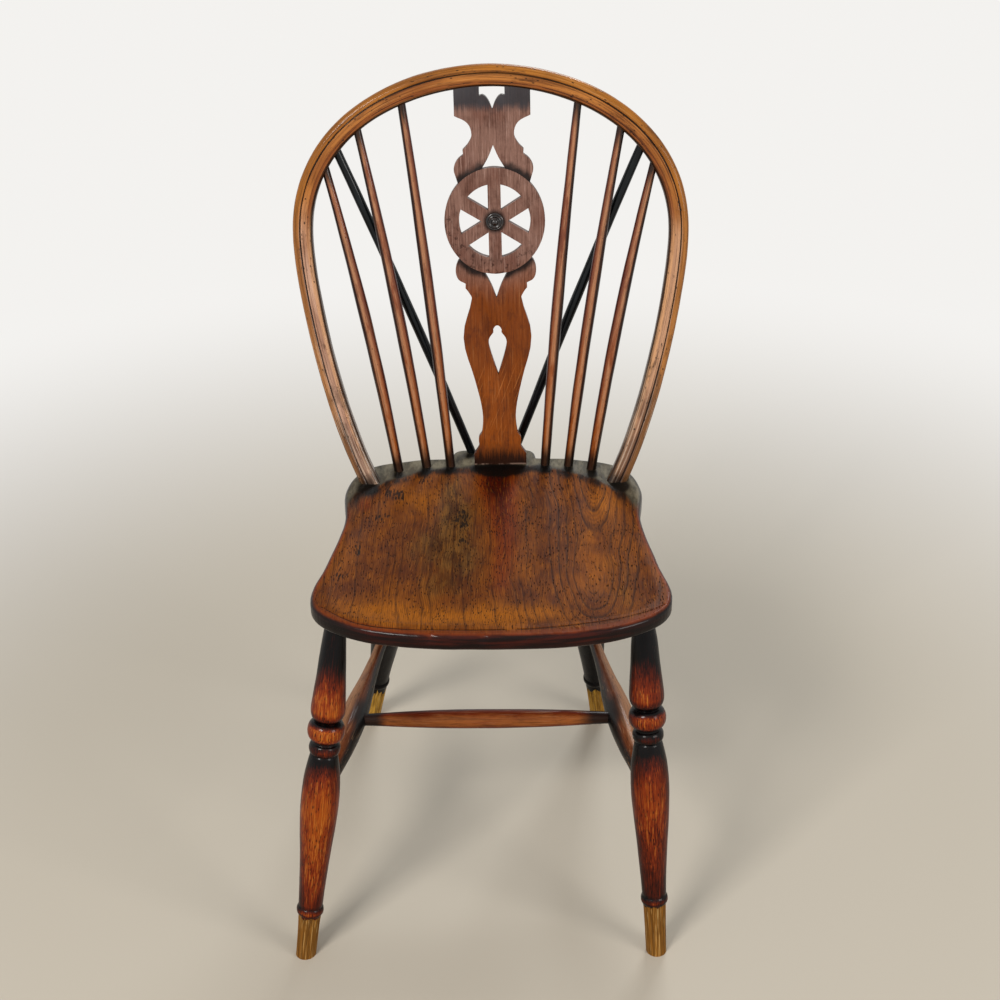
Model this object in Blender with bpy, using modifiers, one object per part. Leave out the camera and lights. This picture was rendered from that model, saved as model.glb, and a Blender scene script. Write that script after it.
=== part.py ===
"""Wheel-back side chair: one-board seat, bent hoop, fretted splat, round sticks and turned legs.

Metres. The origin is on the floor under the middle of the chair, X runs to the right and Y to the
back as seen from the front, and Z is up. The back is laid out on a leaning plane: x across it and
s up it, from the top of the seat.
"""
import math

import bmesh
import bpy
import numpy as np
from mathutils import Matrix, Vector
from mathutils.geometry import interpolate_bezier

# Fit of every socket, slot and mortise, on each side
FIT = 0.0003
# How far a cutter runs on past the surface that it opens
OVERRUN = 0.012

# Seat
SEAT_TOP = 0.436
SEAT_THICKNESS = 0.030
SEAT_FRONT = -0.233
SEAT_BAND = 0.016
SEAT_UNDERCUT = 0.021
SEAT_ARRIS = 0.004
ARRIS_FULLNESS = 0.3
DISH_DEPTH = 0.0065
DISH_ROUNDNESS = 8.0
DISH_MARGIN = 0.020
DISH_FRONT_MARGIN = 0.026
DISH_BEFORE_STICKS = 0.006
SEAT_SOCKET_DEPTH = 0.018

# Back
BACK_FOOT = 0.104
BACK_LEAN = math.radians(12.0)
HOOP_FOOT = 0.1485
HOOP_HALF_WIDTH = 0.2152
HOOP_WIDEST = 0.2948
HOOP_RISE = 0.4705
HOOP_FOOT_FLARE = 0.0400
HOOP_FOOT_STRAIGHT = 0.0878
HOOP_SIDE_STRAIGHT = 0.0615
HOOP_SHOULDER = 0.67
HOOP_ARCH = 0.47
HOOP_END_ABOVE_UNDERSIDE = 0.0015
HOOP_FACE = 0.0235
HOOP_DEPTH = 0.021
HOOP_ROUNDING = 0.0065
HOOP_FOOT_SWELL = 0.94
HOOP_TOP_SWELL = 1.06
GROOVE_FROM_EDGE = 0.0092
GROOVE_WIDTH = 0.0018
GROOVE_DEPTH = 0.0012
HOOP_SOCKET_DEPTH = 0.015
WEDGE_LENGTH = 0.018
WEDGE_WIDTH = 0.015
WEDGE_THICK = 0.0034
WEDGE_THIN = 0.0012

# Splat
SPLAT_THICKNESS = 0.0090
SPLAT_FOOT_X = 0.0083
SPLAT_FOOT_BACK = 0.0430
SPLAT_SWING = math.radians(0.66)
SPLAT_LEAN = math.radians(6.3)
SPLAT_HOUSING = 0.0100
SPLAT_FOOT_HALF = 0.0316
EAR_INNER = 0.0143
EAR_OUTER = 0.0429
EAR_HOUSING = 0.0100
WHEEL_PROUD = 0.0014
WHEEL_STEP_CLEAR = 0.0002
WHEEL_RISE = 0.3000
WHEEL_HALF_WIDTH = 0.0579
WHEEL_HALF_HEIGHT = 0.0618
WHEEL_RIM = 0.0168
WHEEL_RIM_TOP = 0.0188
SPOKE_WIDTH = 0.0148
SPOKE_COUNT = 6
BOSS_RADIUS = 0.0104
BOSS_PEG_RADIUS = 0.0032
BOSS_PEG_SHORT = 0.0015
UPPER_GAP_APEX = 0.3870
LOWER_GAP_APEX = 0.2085
GAP_HALF_WIDTH = 0.0135
GAP_SIDE_BOW = 0.42

# Sticks: x on the seat, y behind the hoop's foot, how far inside the hoop's middle line, and the
# spring of the stick towards the middle; then each one's share of the way up the hoop to its top
STICKS = (
    ("left_outer", -0.1149, 0.0258, 0.0138, 0.0040),
    ("left_middle", -0.0818, 0.0357, 0.0172, 0.0034),
    ("left_inner", -0.0525, 0.0372, 0.0159, 0.0022),
    ("right_inner", 0.0627, 0.0392, 0.0140, 0.0022),
    ("right_middle", 0.0909, 0.0360, 0.0152, 0.0030),
    ("right_outer", 0.1185, 0.0273, 0.0143, 0.0038),
)
STICK_SHARES = (0.6215, 0.7218, 0.8264, 0.8247, 0.7251, 0.6239)
STICK_FOOT_RADIUS = 0.0057
STICK_BELLY_RADIUS = 0.0066
STICK_HEAD_RADIUS = 0.0046
STICK_SET_FORWARD = 0.0014
BRACES = (
    ("left", -0.0275, 0.0722, 0.0147, 0.0020),
    ("right", 0.0250, 0.0722, 0.0172, 0.0020),
)
BRACE_SHARES = (0.6648, 0.6681)
BRACE_SET_BACK = 0.0052
BRACE_RADIUS = 0.0058
BRACE_END_RADIUS = 0.0052

# Legs: x and y of the sole's middle, x and y at the seat's underside, the lift of the turning
LEGS = (
    ("front_left", -0.2182, -0.2315, -0.1662, -0.1640, 0.000),
    ("front_right", 0.1845, -0.2290, 0.1625, -0.1610, 0.010),
    ("rear_left", -0.1760, 0.2315, -0.1020, 0.0790, 0.021),
    ("rear_right", 0.1390, 0.2315, 0.0980, 0.0790, 0.023),
)
LEG_TENON_RADIUS = 0.0117
LEG_TENON_LENGTH = 0.0200
LEG_NECK = 0.0020
SOLE_ALLOWANCE = 0.0120
STRETCHER_HEIGHT = 0.1880
STRETCHER_END_RADIUS = 0.0074
STRETCHER_BELLY_RADIUS = 0.0166
STRETCHER_SHORT_OF_AXIS = 0.0060
STRETCHER_MOUTH = 0.2
CROSS_SHARE = 0.445
CROSS_END_RADIUS = 0.0074
CROSS_BELLY_RADIUS = 0.0116
CROSS_SHORT_OF_AXIS = 0.0050

# How finely round things are cut
LEG_SIDES = 16
ROD_SIDES = 14
FLOW_STEPS = 4
STICK_STEPS = 9
HOOP_MEASURE_STEPS = 60

SMOOTH = "smooth"
CORNER = "corner"


# Scene and materials
for old in list(bpy.data.objects):
    bpy.data.objects.remove(old, do_unlink=True)

chair = bpy.data.collections.new("wheel_back_side_chair")
cutters = bpy.data.collections.new("cutters")
bpy.context.scene.collection.children.link(chair)
bpy.context.scene.collection.children.link(cutters)

chair_frame = bpy.data.objects.new("chair_frame", None)
chair.objects.link(chair_frame)


def wood(name, colour, roughness):
    """A wood finish: its colour and how dull it is."""
    material = bpy.data.materials.new(name)
    material.use_nodes = True
    shader = material.node_tree.nodes["Principled BSDF"]
    shader.inputs["Base Color"].default_value = (*colour, 1.0)
    shader.inputs["Roughness"].default_value = roughness
    shader.inputs["Metallic"].default_value = 0.0
    material.diffuse_color = (*colour, 1.0)
    return material


# Lines and outlines
def flowing(knots, closed=True, steps=FLOW_STEPS):
    """Points of a line through knots (x, y, kind) that flows at a SMOOTH one and turns at a CORNER."""
    count = len(knots)
    places = [Vector(knot[:2]) for knot in knots]

    def handle(index, other):
        reach = (places[other] - places[index]).length * 0.36
        before, after = (index - 1) % count, (index + 1) % count
        at_open_end = not closed and index in (0, count - 1)
        if knots[index][2] == CORNER or at_open_end:
            return places[index].lerp(places[other], 1 / 3)
        tangent = (places[after] - places[before]).normalized()
        forward = 1 if other == after else -1
        return places[index] + tangent * reach * forward

    points = []
    for index in range(count if closed else count - 1):
        after = (index + 1) % count
        straight = knots[index][2] == CORNER and knots[after][2] == CORNER
        if straight:
            points.append(places[index])
            continue
        stretch = interpolate_bezier(
            places[index], handle(index, after), handle(after, index), places[after], steps + 1
        )
        points.extend(point.to_2d() for point in stretch[:-1])
    if not closed:
        points.append(places[-1])
    return points


def mirrored(knots):
    """A closed outline from the knots of its right half, in order from the bottom to the top."""
    left = [(-x, y, kind) for x, y, kind in reversed(knots) if x > 0.0]
    return list(knots) + left


def ellipse(middle, half_width, half_height, count=64):
    """Points round an ellipse."""
    turn = math.tau / count
    return [
        Vector((
            middle[0] + half_width * math.cos(turn * step),
            middle[1] + half_height * math.sin(turn * step),
        ))
        for step in range(count)
    ]


# Solids
def new_part(name, data, material, collection=chair):
    """An object of the chair, or of the cutters, parented to the chair's frame."""
    part = bpy.data.objects.new(name, data)
    collection.objects.link(part)
    part.parent = chair_frame
    if material:
        data.materials.append(material)
    if collection is cutters:
        part.hide_render = True
        part.display_type = "WIRE"
    return part


def as_mesh(part):
    """The same object made a closed mesh, so that it can be cut or can cut."""
    evaluated = part.evaluated_get(bpy.context.evaluated_depsgraph_get())
    mesh = bpy.data.meshes.new_from_object(evaluated)
    work = bmesh.new()
    work.from_mesh(mesh)
    bmesh.ops.remove_doubles(work, verts=work.verts, dist=1e-6)
    bmesh.ops.recalc_face_normals(work, faces=work.faces)
    work.to_mesh(mesh)
    work.free()
    name, collection, placing = part.name, part.users_collection[0], part.matrix_local.copy()
    bpy.data.objects.remove(part, do_unlink=True)
    solid = new_part(name, mesh, None, collection)
    solid.matrix_local = placing
    return solid


def board(name, outlines, thickness, placing, material, collection=chair):
    """A flat board cut to an outline, with any further outlines as holes through it."""
    curve = bpy.data.curves.new(name, "CURVE")
    curve.dimensions = "2D"
    curve.fill_mode = "BOTH"
    curve.extrude = thickness / 2
    for outline in outlines:
        spline = curve.splines.new("POLY")
        spline.points.add(len(outline) - 1)
        for point, place in zip(spline.points, outline):
            point.co = (place.x, place.y, 0.0, 1.0)
        spline.use_cyclic_u = True
    part = new_part(name, curve, material, collection)
    part.matrix_local = placing
    bpy.context.view_layer.update()
    return as_mesh(part)


def along(base, tip):
    """The placing that stands a shape's Z axis on base and points it at tip."""
    direction = Vector(tip) - Vector(base)
    return Matrix.Translation(base) @ direction.to_track_quat("Z", "Y").to_matrix().to_4x4()


def turned(name, profile, placing, sides, material, collection=chair):
    """A turned shape: a profile of (height, radius), top first, spun about its own Z axis."""
    mesh = bpy.data.meshes.new(name)
    top, bottom = profile[0][0], profile[-1][0]
    rim = [(radius, 0.0, height) for height, radius in profile]
    points = [(0.0, 0.0, top), *rim, (0.0, 0.0, bottom)]
    edges = [(index, index + 1) for index in range(len(points) - 1)]
    mesh.from_pydata(points, edges, [])
    part = new_part(name, mesh, material, collection)
    part.matrix_local = placing
    screw = part.modifiers.new("turning", "SCREW")
    screw.steps = sides
    screw.render_steps = sides
    screw.use_merge_vertices = True
    screw.merge_threshold = 0.00005
    screw.use_smooth_shade = True
    return part


def rod(name, base, tip, radii, material, collection=chair):
    """A round rod from base to tip; radii are (share of the length, radius), base first."""
    length = (Vector(tip) - Vector(base)).length
    knots = [(share * length, radius, SMOOTH) for share, radius in radii]
    profile = [tuple(point) for point in reversed(flowing(knots, closed=False, steps=2))]
    return turned(name, profile, along(base, tip), ROD_SIDES, material, collection)


def sprung_rod(name, foot, from_seat, bend, to_hoop, head, radii, material):
    """A rod, straight in its two sockets and bent in one soft curve between them; radii as for rod."""
    path = [foot]
    for step in range(STICK_STEPS + 1):
        share = step / STICK_STEPS
        path.append(from_seat.lerp(bend, share).lerp(bend.lerp(to_hoop, share), share))
    path.append(head)
    curve = bpy.data.curves.new(name, "CURVE")
    curve.dimensions = "3D"
    curve.bevel_depth = 1.0
    curve.bevel_resolution = ROD_SIDES // 2 - 2
    curve.use_fill_caps = True
    spline = curve.splines.new("POLY")
    spline.points.add(len(path) - 1)
    shares, sizes = zip(*radii)
    length = (head - foot).length
    for point, place in zip(spline.points, path):
        point.co = (*place, 1.0)
        point.radius = float(np.interp((place - foot).length / length, shares, sizes))
    part = new_part(name, curve, material)
    bpy.context.view_layer.update()
    return as_mesh(part)


def socket(name, mouth, end, radius):
    """A round cutter for a blind socket, from a little outside its mouth to its end."""
    inward = (Vector(end) - Vector(mouth)).normalized()
    base = Vector(mouth) - inward * OVERRUN
    tip = Vector(end) + inward * FIT
    length = (tip - base).length
    profile = [(length, radius + FIT), (0.0, radius + FIT)]
    return turned(name, profile, along(base, tip), LEG_SIDES, None, cutters)


def cut(part, cutter):
    """Take the cutter's shape out of the part."""
    boolean = part.modifiers.new(f"cut_{cutter.name}", "BOOLEAN")
    boolean.operation = "DIFFERENCE"
    boolean.solver = "EXACT"
    boolean.object = cutter


# The leaning plane of the back
def leaning(lean, foot_y):
    """Placing for things drawn with x across and y up a plane that leans back from the seat."""
    tilt = Matrix.Rotation(math.radians(90.0) - lean, 4, "X")
    return Matrix.Translation((0.0, foot_y, SEAT_TOP)) @ tilt


BACK = leaning(BACK_LEAN, BACK_FOOT)


def on_back(x, s, forward=0.0):
    """A point of the back, forward of the middle of the hoop's depth."""
    return BACK @ Vector((x, s, forward))


# Seat
seat_wood = wood("elm_seat", (0.30, 0.115, 0.035), 0.36)
SEAT_HALF_OUTLINE = (
    (0.0000, 0.0000, SMOOTH),
    (0.1000, 0.0065, SMOOTH),
    (0.1640, 0.0310, SMOOTH),
    (0.1915, 0.0690, SMOOTH),
    (0.1820, 0.1450, SMOOTH),
    (0.1700, 0.2400, SMOOTH),
    (0.1748, 0.3150, SMOOTH),
    (0.1540, 0.3680, SMOOTH),
    (0.1000, 0.3890, SMOOTH),
    (0.0520, 0.3935, CORNER),
    (0.0478, 0.4100, SMOOTH),
    (0.0370, 0.4160, SMOOTH),
    (0.0000, 0.4165, SMOOTH),
)


def seat_ring(outline, drop, inset):
    """The seat's outline at a depth below its top, drawn in towards its middle by inset."""
    half_width = max(point.x for point in outline)
    half_depth = max(point.y for point in outline) / 2
    across = 1.0 - inset / half_width
    along_seat = 1.0 - inset / half_depth
    return [
        (
            point.x * across,
            SEAT_FRONT + half_depth + (point.y - half_depth) * along_seat,
            SEAT_TOP - drop,
        )
        for point in outline
    ]


def lofted(name, rings, material):
    """A closed skin over rings of equally many points, the first on top, with flat ends."""
    work = bmesh.new()
    layers = [[work.verts.new(place) for place in ring] for ring in rings]
    work.faces.new(layers[0])
    work.faces.new(list(reversed(layers[-1])))
    for upper, lower in zip(layers, layers[1:]):
        for index in range(len(upper)):
            after = (index + 1) % len(upper)
            work.faces.new((upper[index], lower[index], lower[after], upper[after]))
    bmesh.ops.recalc_face_normals(work, faces=work.faces)
    mesh = bpy.data.meshes.new(name)
    work.to_mesh(mesh)
    work.free()
    return new_part(name, mesh, material)


def make_seat():
    outline = flowing(mirrored(SEAT_HALF_OUTLINE))
    rings = [
        seat_ring(outline, 0.0, SEAT_ARRIS),
        seat_ring(outline, SEAT_ARRIS * ARRIS_FULLNESS, SEAT_ARRIS * ARRIS_FULLNESS),
        seat_ring(outline, SEAT_ARRIS, 0.0),
        seat_ring(outline, SEAT_BAND, 0.0),
        seat_ring(outline, SEAT_THICKNESS, SEAT_UNDERCUT),
    ]
    return lofted("seat", rings, seat_wood)


def make_dish():
    """The hollow of the seat: the underside of a flat ellipsoid, sunk by its own depth."""
    half_width = max(knot[0] for knot in SEAT_HALF_OUTLINE) - DISH_MARGIN
    front = SEAT_FRONT + DISH_FRONT_MARGIN
    back = BACK_FOOT + max(stick[2] for stick in STICKS) - DISH_BEFORE_STICKS
    half_depth = (back - front) / 2
    height = DISH_DEPTH * DISH_ROUNDNESS
    sink = math.sqrt(1.0 - (1.0 - DISH_DEPTH / height) ** 2)
    bpy.ops.mesh.primitive_uv_sphere_add(segments=56, ring_count=32, radius=1.0)
    dish = bpy.context.object
    dish.name = "dish"
    dish.scale = (half_width / sink, half_depth / sink, height)
    dish.location = (0.0, (front + back) / 2, SEAT_TOP + height - DISH_DEPTH)
    for collection in dish.users_collection:
        collection.objects.unlink(dish)
    cutters.objects.link(dish)
    dish.parent = chair_frame
    dish.hide_render = True
    dish.display_type = "WIRE"
    return dish


# Hoop
hoop_wood = wood("hoop_wood", (0.34, 0.155, 0.050), 0.34)
wedge_wood = wood("wedge_wood", (0.16, 0.075, 0.030), 0.55)


def hoop_line(steps=13):
    """The middle line of the hoop as (x, s), from the left foot over the top to the right foot."""
    foot = Vector((HOOP_FOOT, 0.0))
    widest = Vector((HOOP_HALF_WIDTH, HOOP_WIDEST))
    top = Vector((0.0, HOOP_RISE))
    rising = (HOOP_RISE - HOOP_WIDEST) * HOOP_SHOULDER
    arching = HOOP_HALF_WIDTH * HOOP_ARCH
    lower = interpolate_bezier(
        foot,
        foot + Vector((HOOP_FOOT_FLARE, HOOP_FOOT_STRAIGHT)),
        widest - Vector((0.0, HOOP_SIDE_STRAIGHT)),
        widest,
        steps,
    )
    upper = interpolate_bezier(
        widest,
        widest + Vector((0.0, rising)),
        top + Vector((arching, 0.0)),
        top,
        steps * 3 // 2,
    )
    right = [point.to_2d() for point in lower[:-1]] + [point.to_2d() for point in upper]
    end_depth = SEAT_THICKNESS - HOOP_END_ABOVE_UNDERSIDE
    into_seat = (right[0] - right[1]).normalized() * end_depth
    right.insert(0, right[0] + into_seat)
    left = [Vector((-point.x, point.y)) for point in right[:-1]]
    return left + list(reversed(right))


def in_hoop(side, share, inset):
    """The (x, s) of a point inside the hoop's middle line, a share of the way from foot to top."""
    line = hoop_line(HOOP_MEASURE_STEPS)
    half = line[1 : len(line) // 2 + 1]
    left_to_go = share * sum((b - a).length for a, b in zip(half, half[1:]))
    for start, end in zip(half, half[1:]):
        run = end - start
        if left_to_go <= run.length:
            break
        left_to_go -= run.length
    up = run.normalized()
    place = start + up * left_to_go + Vector((up.y, -up.x)) * inset
    return Vector((-side * place.x, place.y))


def hoop_section(extra=0.0):
    """Section of the hoop: x is outward from the chair's middle, y is forward."""
    half_face = HOOP_FACE / 2 + extra
    half_depth = HOOP_DEPTH / 2 + extra
    rounding = HOOP_ROUNDING
    points = []
    corners = ((1, 1, 0), (-1, 1, 90), (-1, -1, 180), (1, -1, 270))
    for side, front, start in corners:
        middle = Vector((side * (half_face - rounding), front * (half_depth - rounding)))
        for step in range(4):
            angle = math.radians(start + step * 30)
            points.append(middle + rounding * Vector((math.cos(angle), math.sin(angle))))
        if side == 1 and front == 1 and extra == 0.0:
            groove = half_face - GROOVE_FROM_EDGE
            points.append(Vector((groove + GROOVE_WIDTH / 2, half_depth)))
            points.append(Vector((groove, half_depth - GROOVE_DEPTH)))
            points.append(Vector((groove - GROOVE_WIDTH / 2, half_depth)))
    return points


def sweep_hoop(name, extra, material, collection):
    """The hoop's section swept along its line, or a cutter of it that is extra larger all round."""
    section = bpy.data.curves.new(f"{name}_section", "CURVE")
    section.dimensions = "2D"
    spline = section.splines.new("POLY")
    outline = hoop_section(extra)
    spline.points.add(len(outline) - 1)
    for point, place in zip(spline.points, outline):
        point.co = (place.x, place.y, 0.0, 1.0)
    spline.use_cyclic_u = True
    section_guide = new_part(f"{name}_section", section, None, cutters)

    path = bpy.data.curves.new(name, "CURVE")
    path.dimensions = "3D"
    path.twist_mode = "Z_UP"
    path.bevel_mode = "OBJECT"
    path.bevel_object = section_guide
    path.use_fill_caps = True
    spline = path.splines.new("POLY")
    line = hoop_line()
    spline.points.add(len(line) - 1)
    for point, place in zip(spline.points, line):
        point.co = (place.x, place.y, 0.0, 1.0)
        rise = max(place.y, 0.0) / HOOP_RISE
        point.radius = HOOP_FOOT_SWELL + (HOOP_TOP_SWELL - HOOP_FOOT_SWELL) * rise**3
    hoop = new_part(name, path, material, collection)
    hoop.matrix_local = BACK
    bpy.context.view_layer.update()
    return as_mesh(hoop)


def make_wedge(side, name, extra=0.0, material=None, collection=chair):
    """A wedge in the end of the hoop, driven up from under the seat, or the slot it fills."""
    line = hoop_line()
    end = line[0] if side < 0 else line[-1]
    before = line[1] if side < 0 else line[-2]
    up = (before - end).normalized()
    turn = Matrix.Rotation(-math.atan2(up.x, up.y), 4, "Z")
    placing = BACK @ Matrix.Translation((end.x, end.y, 0.0)) @ turn
    thick, thin = WEDGE_THICK / 2 + extra, WEDGE_THIN / 2 + extra
    below = 0.0 if extra == 0.0 else -0.004
    outline = [
        Vector((-thick, below)),
        Vector((thick, below)),
        Vector((thin, WEDGE_LENGTH + extra)),
        Vector((-thin, WEDGE_LENGTH + extra)),
    ]
    return board(name, [outline], WEDGE_WIDTH + 2 * extra, placing, material, collection)


# Splat
splat_wood = wood("splat_wood", (0.215, 0.085, 0.045), 0.42)
boss_wood = wood("boss_black", (0.022, 0.016, 0.014), 0.30)
HOOP_UNDERSIDE = HOOP_RISE - HOOP_FACE / 2 * HOOP_TOP_SWELL
EAR_TOP = HOOP_UNDERSIDE * math.cos(BACK_LEAN) / math.cos(SPLAT_LEAN) + EAR_HOUSING


# The splat is drawn first at fixed heights: the seat, the wheel's bottom and top, and the ears' top
DRAWN_HEIGHTS = (0.0, 0.2382, 0.3618, 0.46076)
DRAWN_RISE = (DRAWN_HEIGHTS[1] + DRAWN_HEIGHTS[2]) / 2
DRAWN_HALF = (DRAWN_HEIGHTS[2] - DRAWN_HEIGHTS[1]) / 2


def wheel_side(reach=math.radians(45.0), count=16):
    """The wheel's right edge, between the lobes below and above it."""
    knots = []
    for step in range(count + 1):
        angle = reach * (2 * step / count - 1)
        x = WHEEL_HALF_WIDTH * math.cos(angle)
        knots.append((x, DRAWN_RISE + DRAWN_HALF * math.sin(angle), CORNER))
    return knots


SPLAT_HALF_OUTLINE = (
    (SPLAT_FOOT_HALF, -SPLAT_HOUSING, CORNER),
    (SPLAT_FOOT_HALF, 0.0135, CORNER),
    (0.0255, 0.0230, SMOOTH),
    (0.0256, 0.0295, CORNER),
    (0.0252, 0.0350, SMOOTH),
    (0.0213, 0.0420, SMOOTH),
    (0.0202, 0.0690, SMOOTH),
    (0.0280, 0.1080, SMOOTH),
    (0.0401, 0.1610, SMOOTH),
    (0.0290, 0.2080, SMOOTH),
    (0.0325, 0.2165, SMOOTH),
    (0.0360, 0.2210, CORNER),
    (0.0358, 0.2268, CORNER),
    (0.0440, 0.2320, SMOOTH),
    (0.0468, 0.2430, SMOOTH),
    (0.0440, 0.2530, SMOOTH),
    *wheel_side(),
    (0.0428, 0.3500, SMOOTH),
    (0.0452, 0.3610, SMOOTH),
    (0.0410, 0.3705, SMOOTH),
    (0.0340, 0.3765, CORNER),
    (0.0346, 0.3818, CORNER),
    (0.0280, 0.3890, SMOOTH),
    (0.0240, 0.3990, SMOOTH),
    (0.0285, 0.4120, SMOOTH),
    (EAR_OUTER, 0.4200, CORNER),
    (EAR_OUTER, DRAWN_HEIGHTS[-1], CORNER),
    (EAR_INNER, DRAWN_HEIGHTS[-1], CORNER),
    (EAR_INNER, 0.4420, CORNER),
    (0.0095, 0.4425, SMOOTH),
    (0.0040, 0.4365, SMOOTH),
    (0.0000, 0.4265, CORNER),
)
KEYHOLE = (
    (0.0000, 0.1145, CORNER),
    (0.0096, 0.1470, SMOOTH),
    (0.0102, 0.1585, SMOOTH),
    (0.0048, 0.1670, CORNER),
    (0.0046, 0.1715, SMOOTH),
    (0.0000, 0.1755, SMOOTH),
)


def stretched(points):
    """The drawing's points moved up or down to the real heights of the wheel and the ears."""
    wheel_bottom, wheel_top = WHEEL_RISE - WHEEL_HALF_HEIGHT, WHEEL_RISE + WHEEL_HALF_HEIGHT
    heights = (0.0, wheel_bottom, wheel_top, EAR_TOP)
    return [
        Vector((point.x, np.interp(point.y, DRAWN_HEIGHTS, heights) if point.y > 0.0 else point.y))
        for point in points
    ]


def gap_at_wheel(apex, side):
    """The pointed gap that the wheel closes, from its apex; side is 1 above the wheel, -1 below."""
    rim = math.sqrt(1.0 - (GAP_HALF_WIDTH / WHEEL_HALF_WIDTH) ** 2) * DRAWN_HALF
    foot = DRAWN_RISE + side * rim
    middle = DRAWN_RISE + side * DRAWN_HALF
    bow = (apex + foot) / 2
    knots = (
        (0.0, apex, CORNER),
        (GAP_HALF_WIDTH * GAP_SIDE_BOW, bow, SMOOTH),
        (GAP_HALF_WIDTH, foot, CORNER),
        (0.0, middle, SMOOTH),
    )
    return flowing(mirrored(knots), steps=3)


def spoke_gaps():
    """The gaps between the wheel's spokes, each with two straight sides and a round one."""
    inner = WHEEL_HALF_WIDTH - WHEEL_RIM
    inner_height = DRAWN_HALF - WHEEL_RIM_TOP
    turn = math.tau / SPOKE_COUNT
    corner = (SPOKE_WIDTH / 2) / math.sin(turn / 2)
    gaps = []
    for index in range(SPOKE_COUNT):
        middle = turn * index
        spread = turn / 2 - math.asin(SPOKE_WIDTH / 2 / inner)
        points = [Vector((math.cos(middle) * corner, DRAWN_RISE + math.sin(middle) * corner))]
        for step in range(9):
            angle = middle + spread * (step / 4 - 1)
            points.append(
                Vector((inner * math.cos(angle), DRAWN_RISE + inner_height * math.sin(angle)))
            )
        gaps.append(points)
    return gaps


SPLAT_PLACE = (
    Matrix.Translation((SPLAT_FOOT_X, 0.0, 0.0))
    @ leaning(SPLAT_LEAN, BACK_FOOT + SPLAT_FOOT_BACK)
    @ Matrix.Rotation(SPLAT_SWING, 4, "Z")
)
WHEEL_PLACE = SPLAT_PLACE @ Matrix.Translation((0.0, WHEEL_RISE, 0.0))


def mortise(name, left, right, bottom, top):
    """A cutter for the slot that takes the splat's board between these edges."""
    outline = [Vector(place) for place in ((left, bottom), (right, bottom), (right, top), (left, top))]
    return board(name, [outline], SPLAT_THICKNESS + 2 * FIT, SPLAT_PLACE, None, cutters)


def cut_mortises(seat, hoop):
    """The slots for the splat's foot and for its two ears."""
    half = SPLAT_FOOT_HALF + FIT
    cut(seat, mortise("foot_mortise", -half, half, -SPLAT_HOUSING - FIT, SPLAT_HOUSING))
    inner, outer = EAR_INNER - FIT, EAR_OUTER + FIT
    low, high = EAR_TOP - 2 * EAR_HOUSING, EAR_TOP + FIT
    cut(hoop, mortise("left_ear_mortise", -outer, -inner, low, high))
    cut(hoop, mortise("right_ear_mortise", inner, outer, low, high))


def make_splat():
    """The fretted board, full thickness at the wheel and worked down a little around it."""
    drawn = [
        flowing(mirrored(SPLAT_HALF_OUTLINE)),
        flowing(mirrored(KEYHOLE), steps=4),
        gap_at_wheel(UPPER_GAP_APEX, 1),
        gap_at_wheel(LOWER_GAP_APEX, -1),
        *spoke_gaps(),
    ]
    outlines = [stretched(points) for points in drawn]
    full = SPLAT_THICKNESS + WHEEL_PROUD
    outward = Matrix.Translation((0.0, 0.0, WHEEL_PROUD / 2))
    splat = board("splat", outlines, full, SPLAT_PLACE @ outward, splat_wood)

    clear = WHEEL_STEP_CLEAR
    wheel = ellipse((0.0, WHEEL_RISE), WHEEL_HALF_WIDTH + clear, WHEEL_HALF_HEIGHT + clear)
    side, top = HOOP_HALF_WIDTH, HOOP_RISE + HOOP_HALF_WIDTH
    corners = ((-side, -side), (side, -side), (side, top), (-side, top))
    around = [Vector(place) for place in corners]
    ground_depth = 4 * WHEEL_PROUD
    rise = (SPLAT_THICKNESS + ground_depth) / 2
    ground_place = SPLAT_PLACE @ Matrix.Translation((0.0, 0.0, rise))
    cut(splat, board("ground", [around, wheel], ground_depth, ground_place, None, cutters))

    radius = BOSS_PEG_RADIUS + FIT
    profile = [(SPLAT_THICKNESS, radius), (BOSS_PEG_SHORT - FIT - SPLAT_THICKNESS / 2, radius)]
    cut(splat, turned("boss_peg_hole", profile, WHEEL_PLACE, LEG_SIDES, None, cutters))
    return splat


# The boss's turning: height over the wheel's face, share of the boss's radius, top first
BOSS_TURNING = (
    (0.0068, 0.06),
    (0.0062, 0.23),
    (0.0050, 0.35),
    (0.0040, 0.40),
    (0.0040, 0.54),
    (0.0047, 0.63),
    (0.0040, 0.73),
    (0.0028, 0.77),
    (0.0032, 0.88),
    (0.0022, 1.00),
    (0.0000, 1.00),
)


def make_boss():
    """The turned button on the wheel's middle, with its peg through the board."""
    back = BOSS_PEG_SHORT - SPLAT_THICKNESS / 2
    face = SPLAT_THICKNESS / 2 + WHEEL_PROUD + FIT
    profile = [(face + height, share * BOSS_RADIUS) for height, share in BOSS_TURNING]
    profile.append((face, BOSS_PEG_RADIUS))
    profile.append((back, BOSS_PEG_RADIUS))
    return turned("wheel_boss", profile, WHEEL_PLACE, LEG_SIDES, boss_wood)


# Sticks and braces
stick_wood = wood("stick_wood", (0.255, 0.085, 0.030), 0.30)
brace_wood = wood("brace_black", (0.016, 0.018, 0.020), 0.34)
STICK_RADII = (
    (0.00, STICK_FOOT_RADIUS),
    (0.06, STICK_FOOT_RADIUS),
    (0.32, STICK_BELLY_RADIUS),
    (0.55, STICK_BELLY_RADIUS),
    (0.94, STICK_HEAD_RADIUS),
    (1.00, STICK_HEAD_RADIUS),
)
BRACE_RADII = (
    (0.00, BRACE_END_RADIUS),
    (0.06, BRACE_END_RADIUS),
    (0.50, BRACE_RADIUS),
    (0.95, BRACE_END_RADIUS),
    (1.00, BRACE_END_RADIUS),
)


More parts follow.
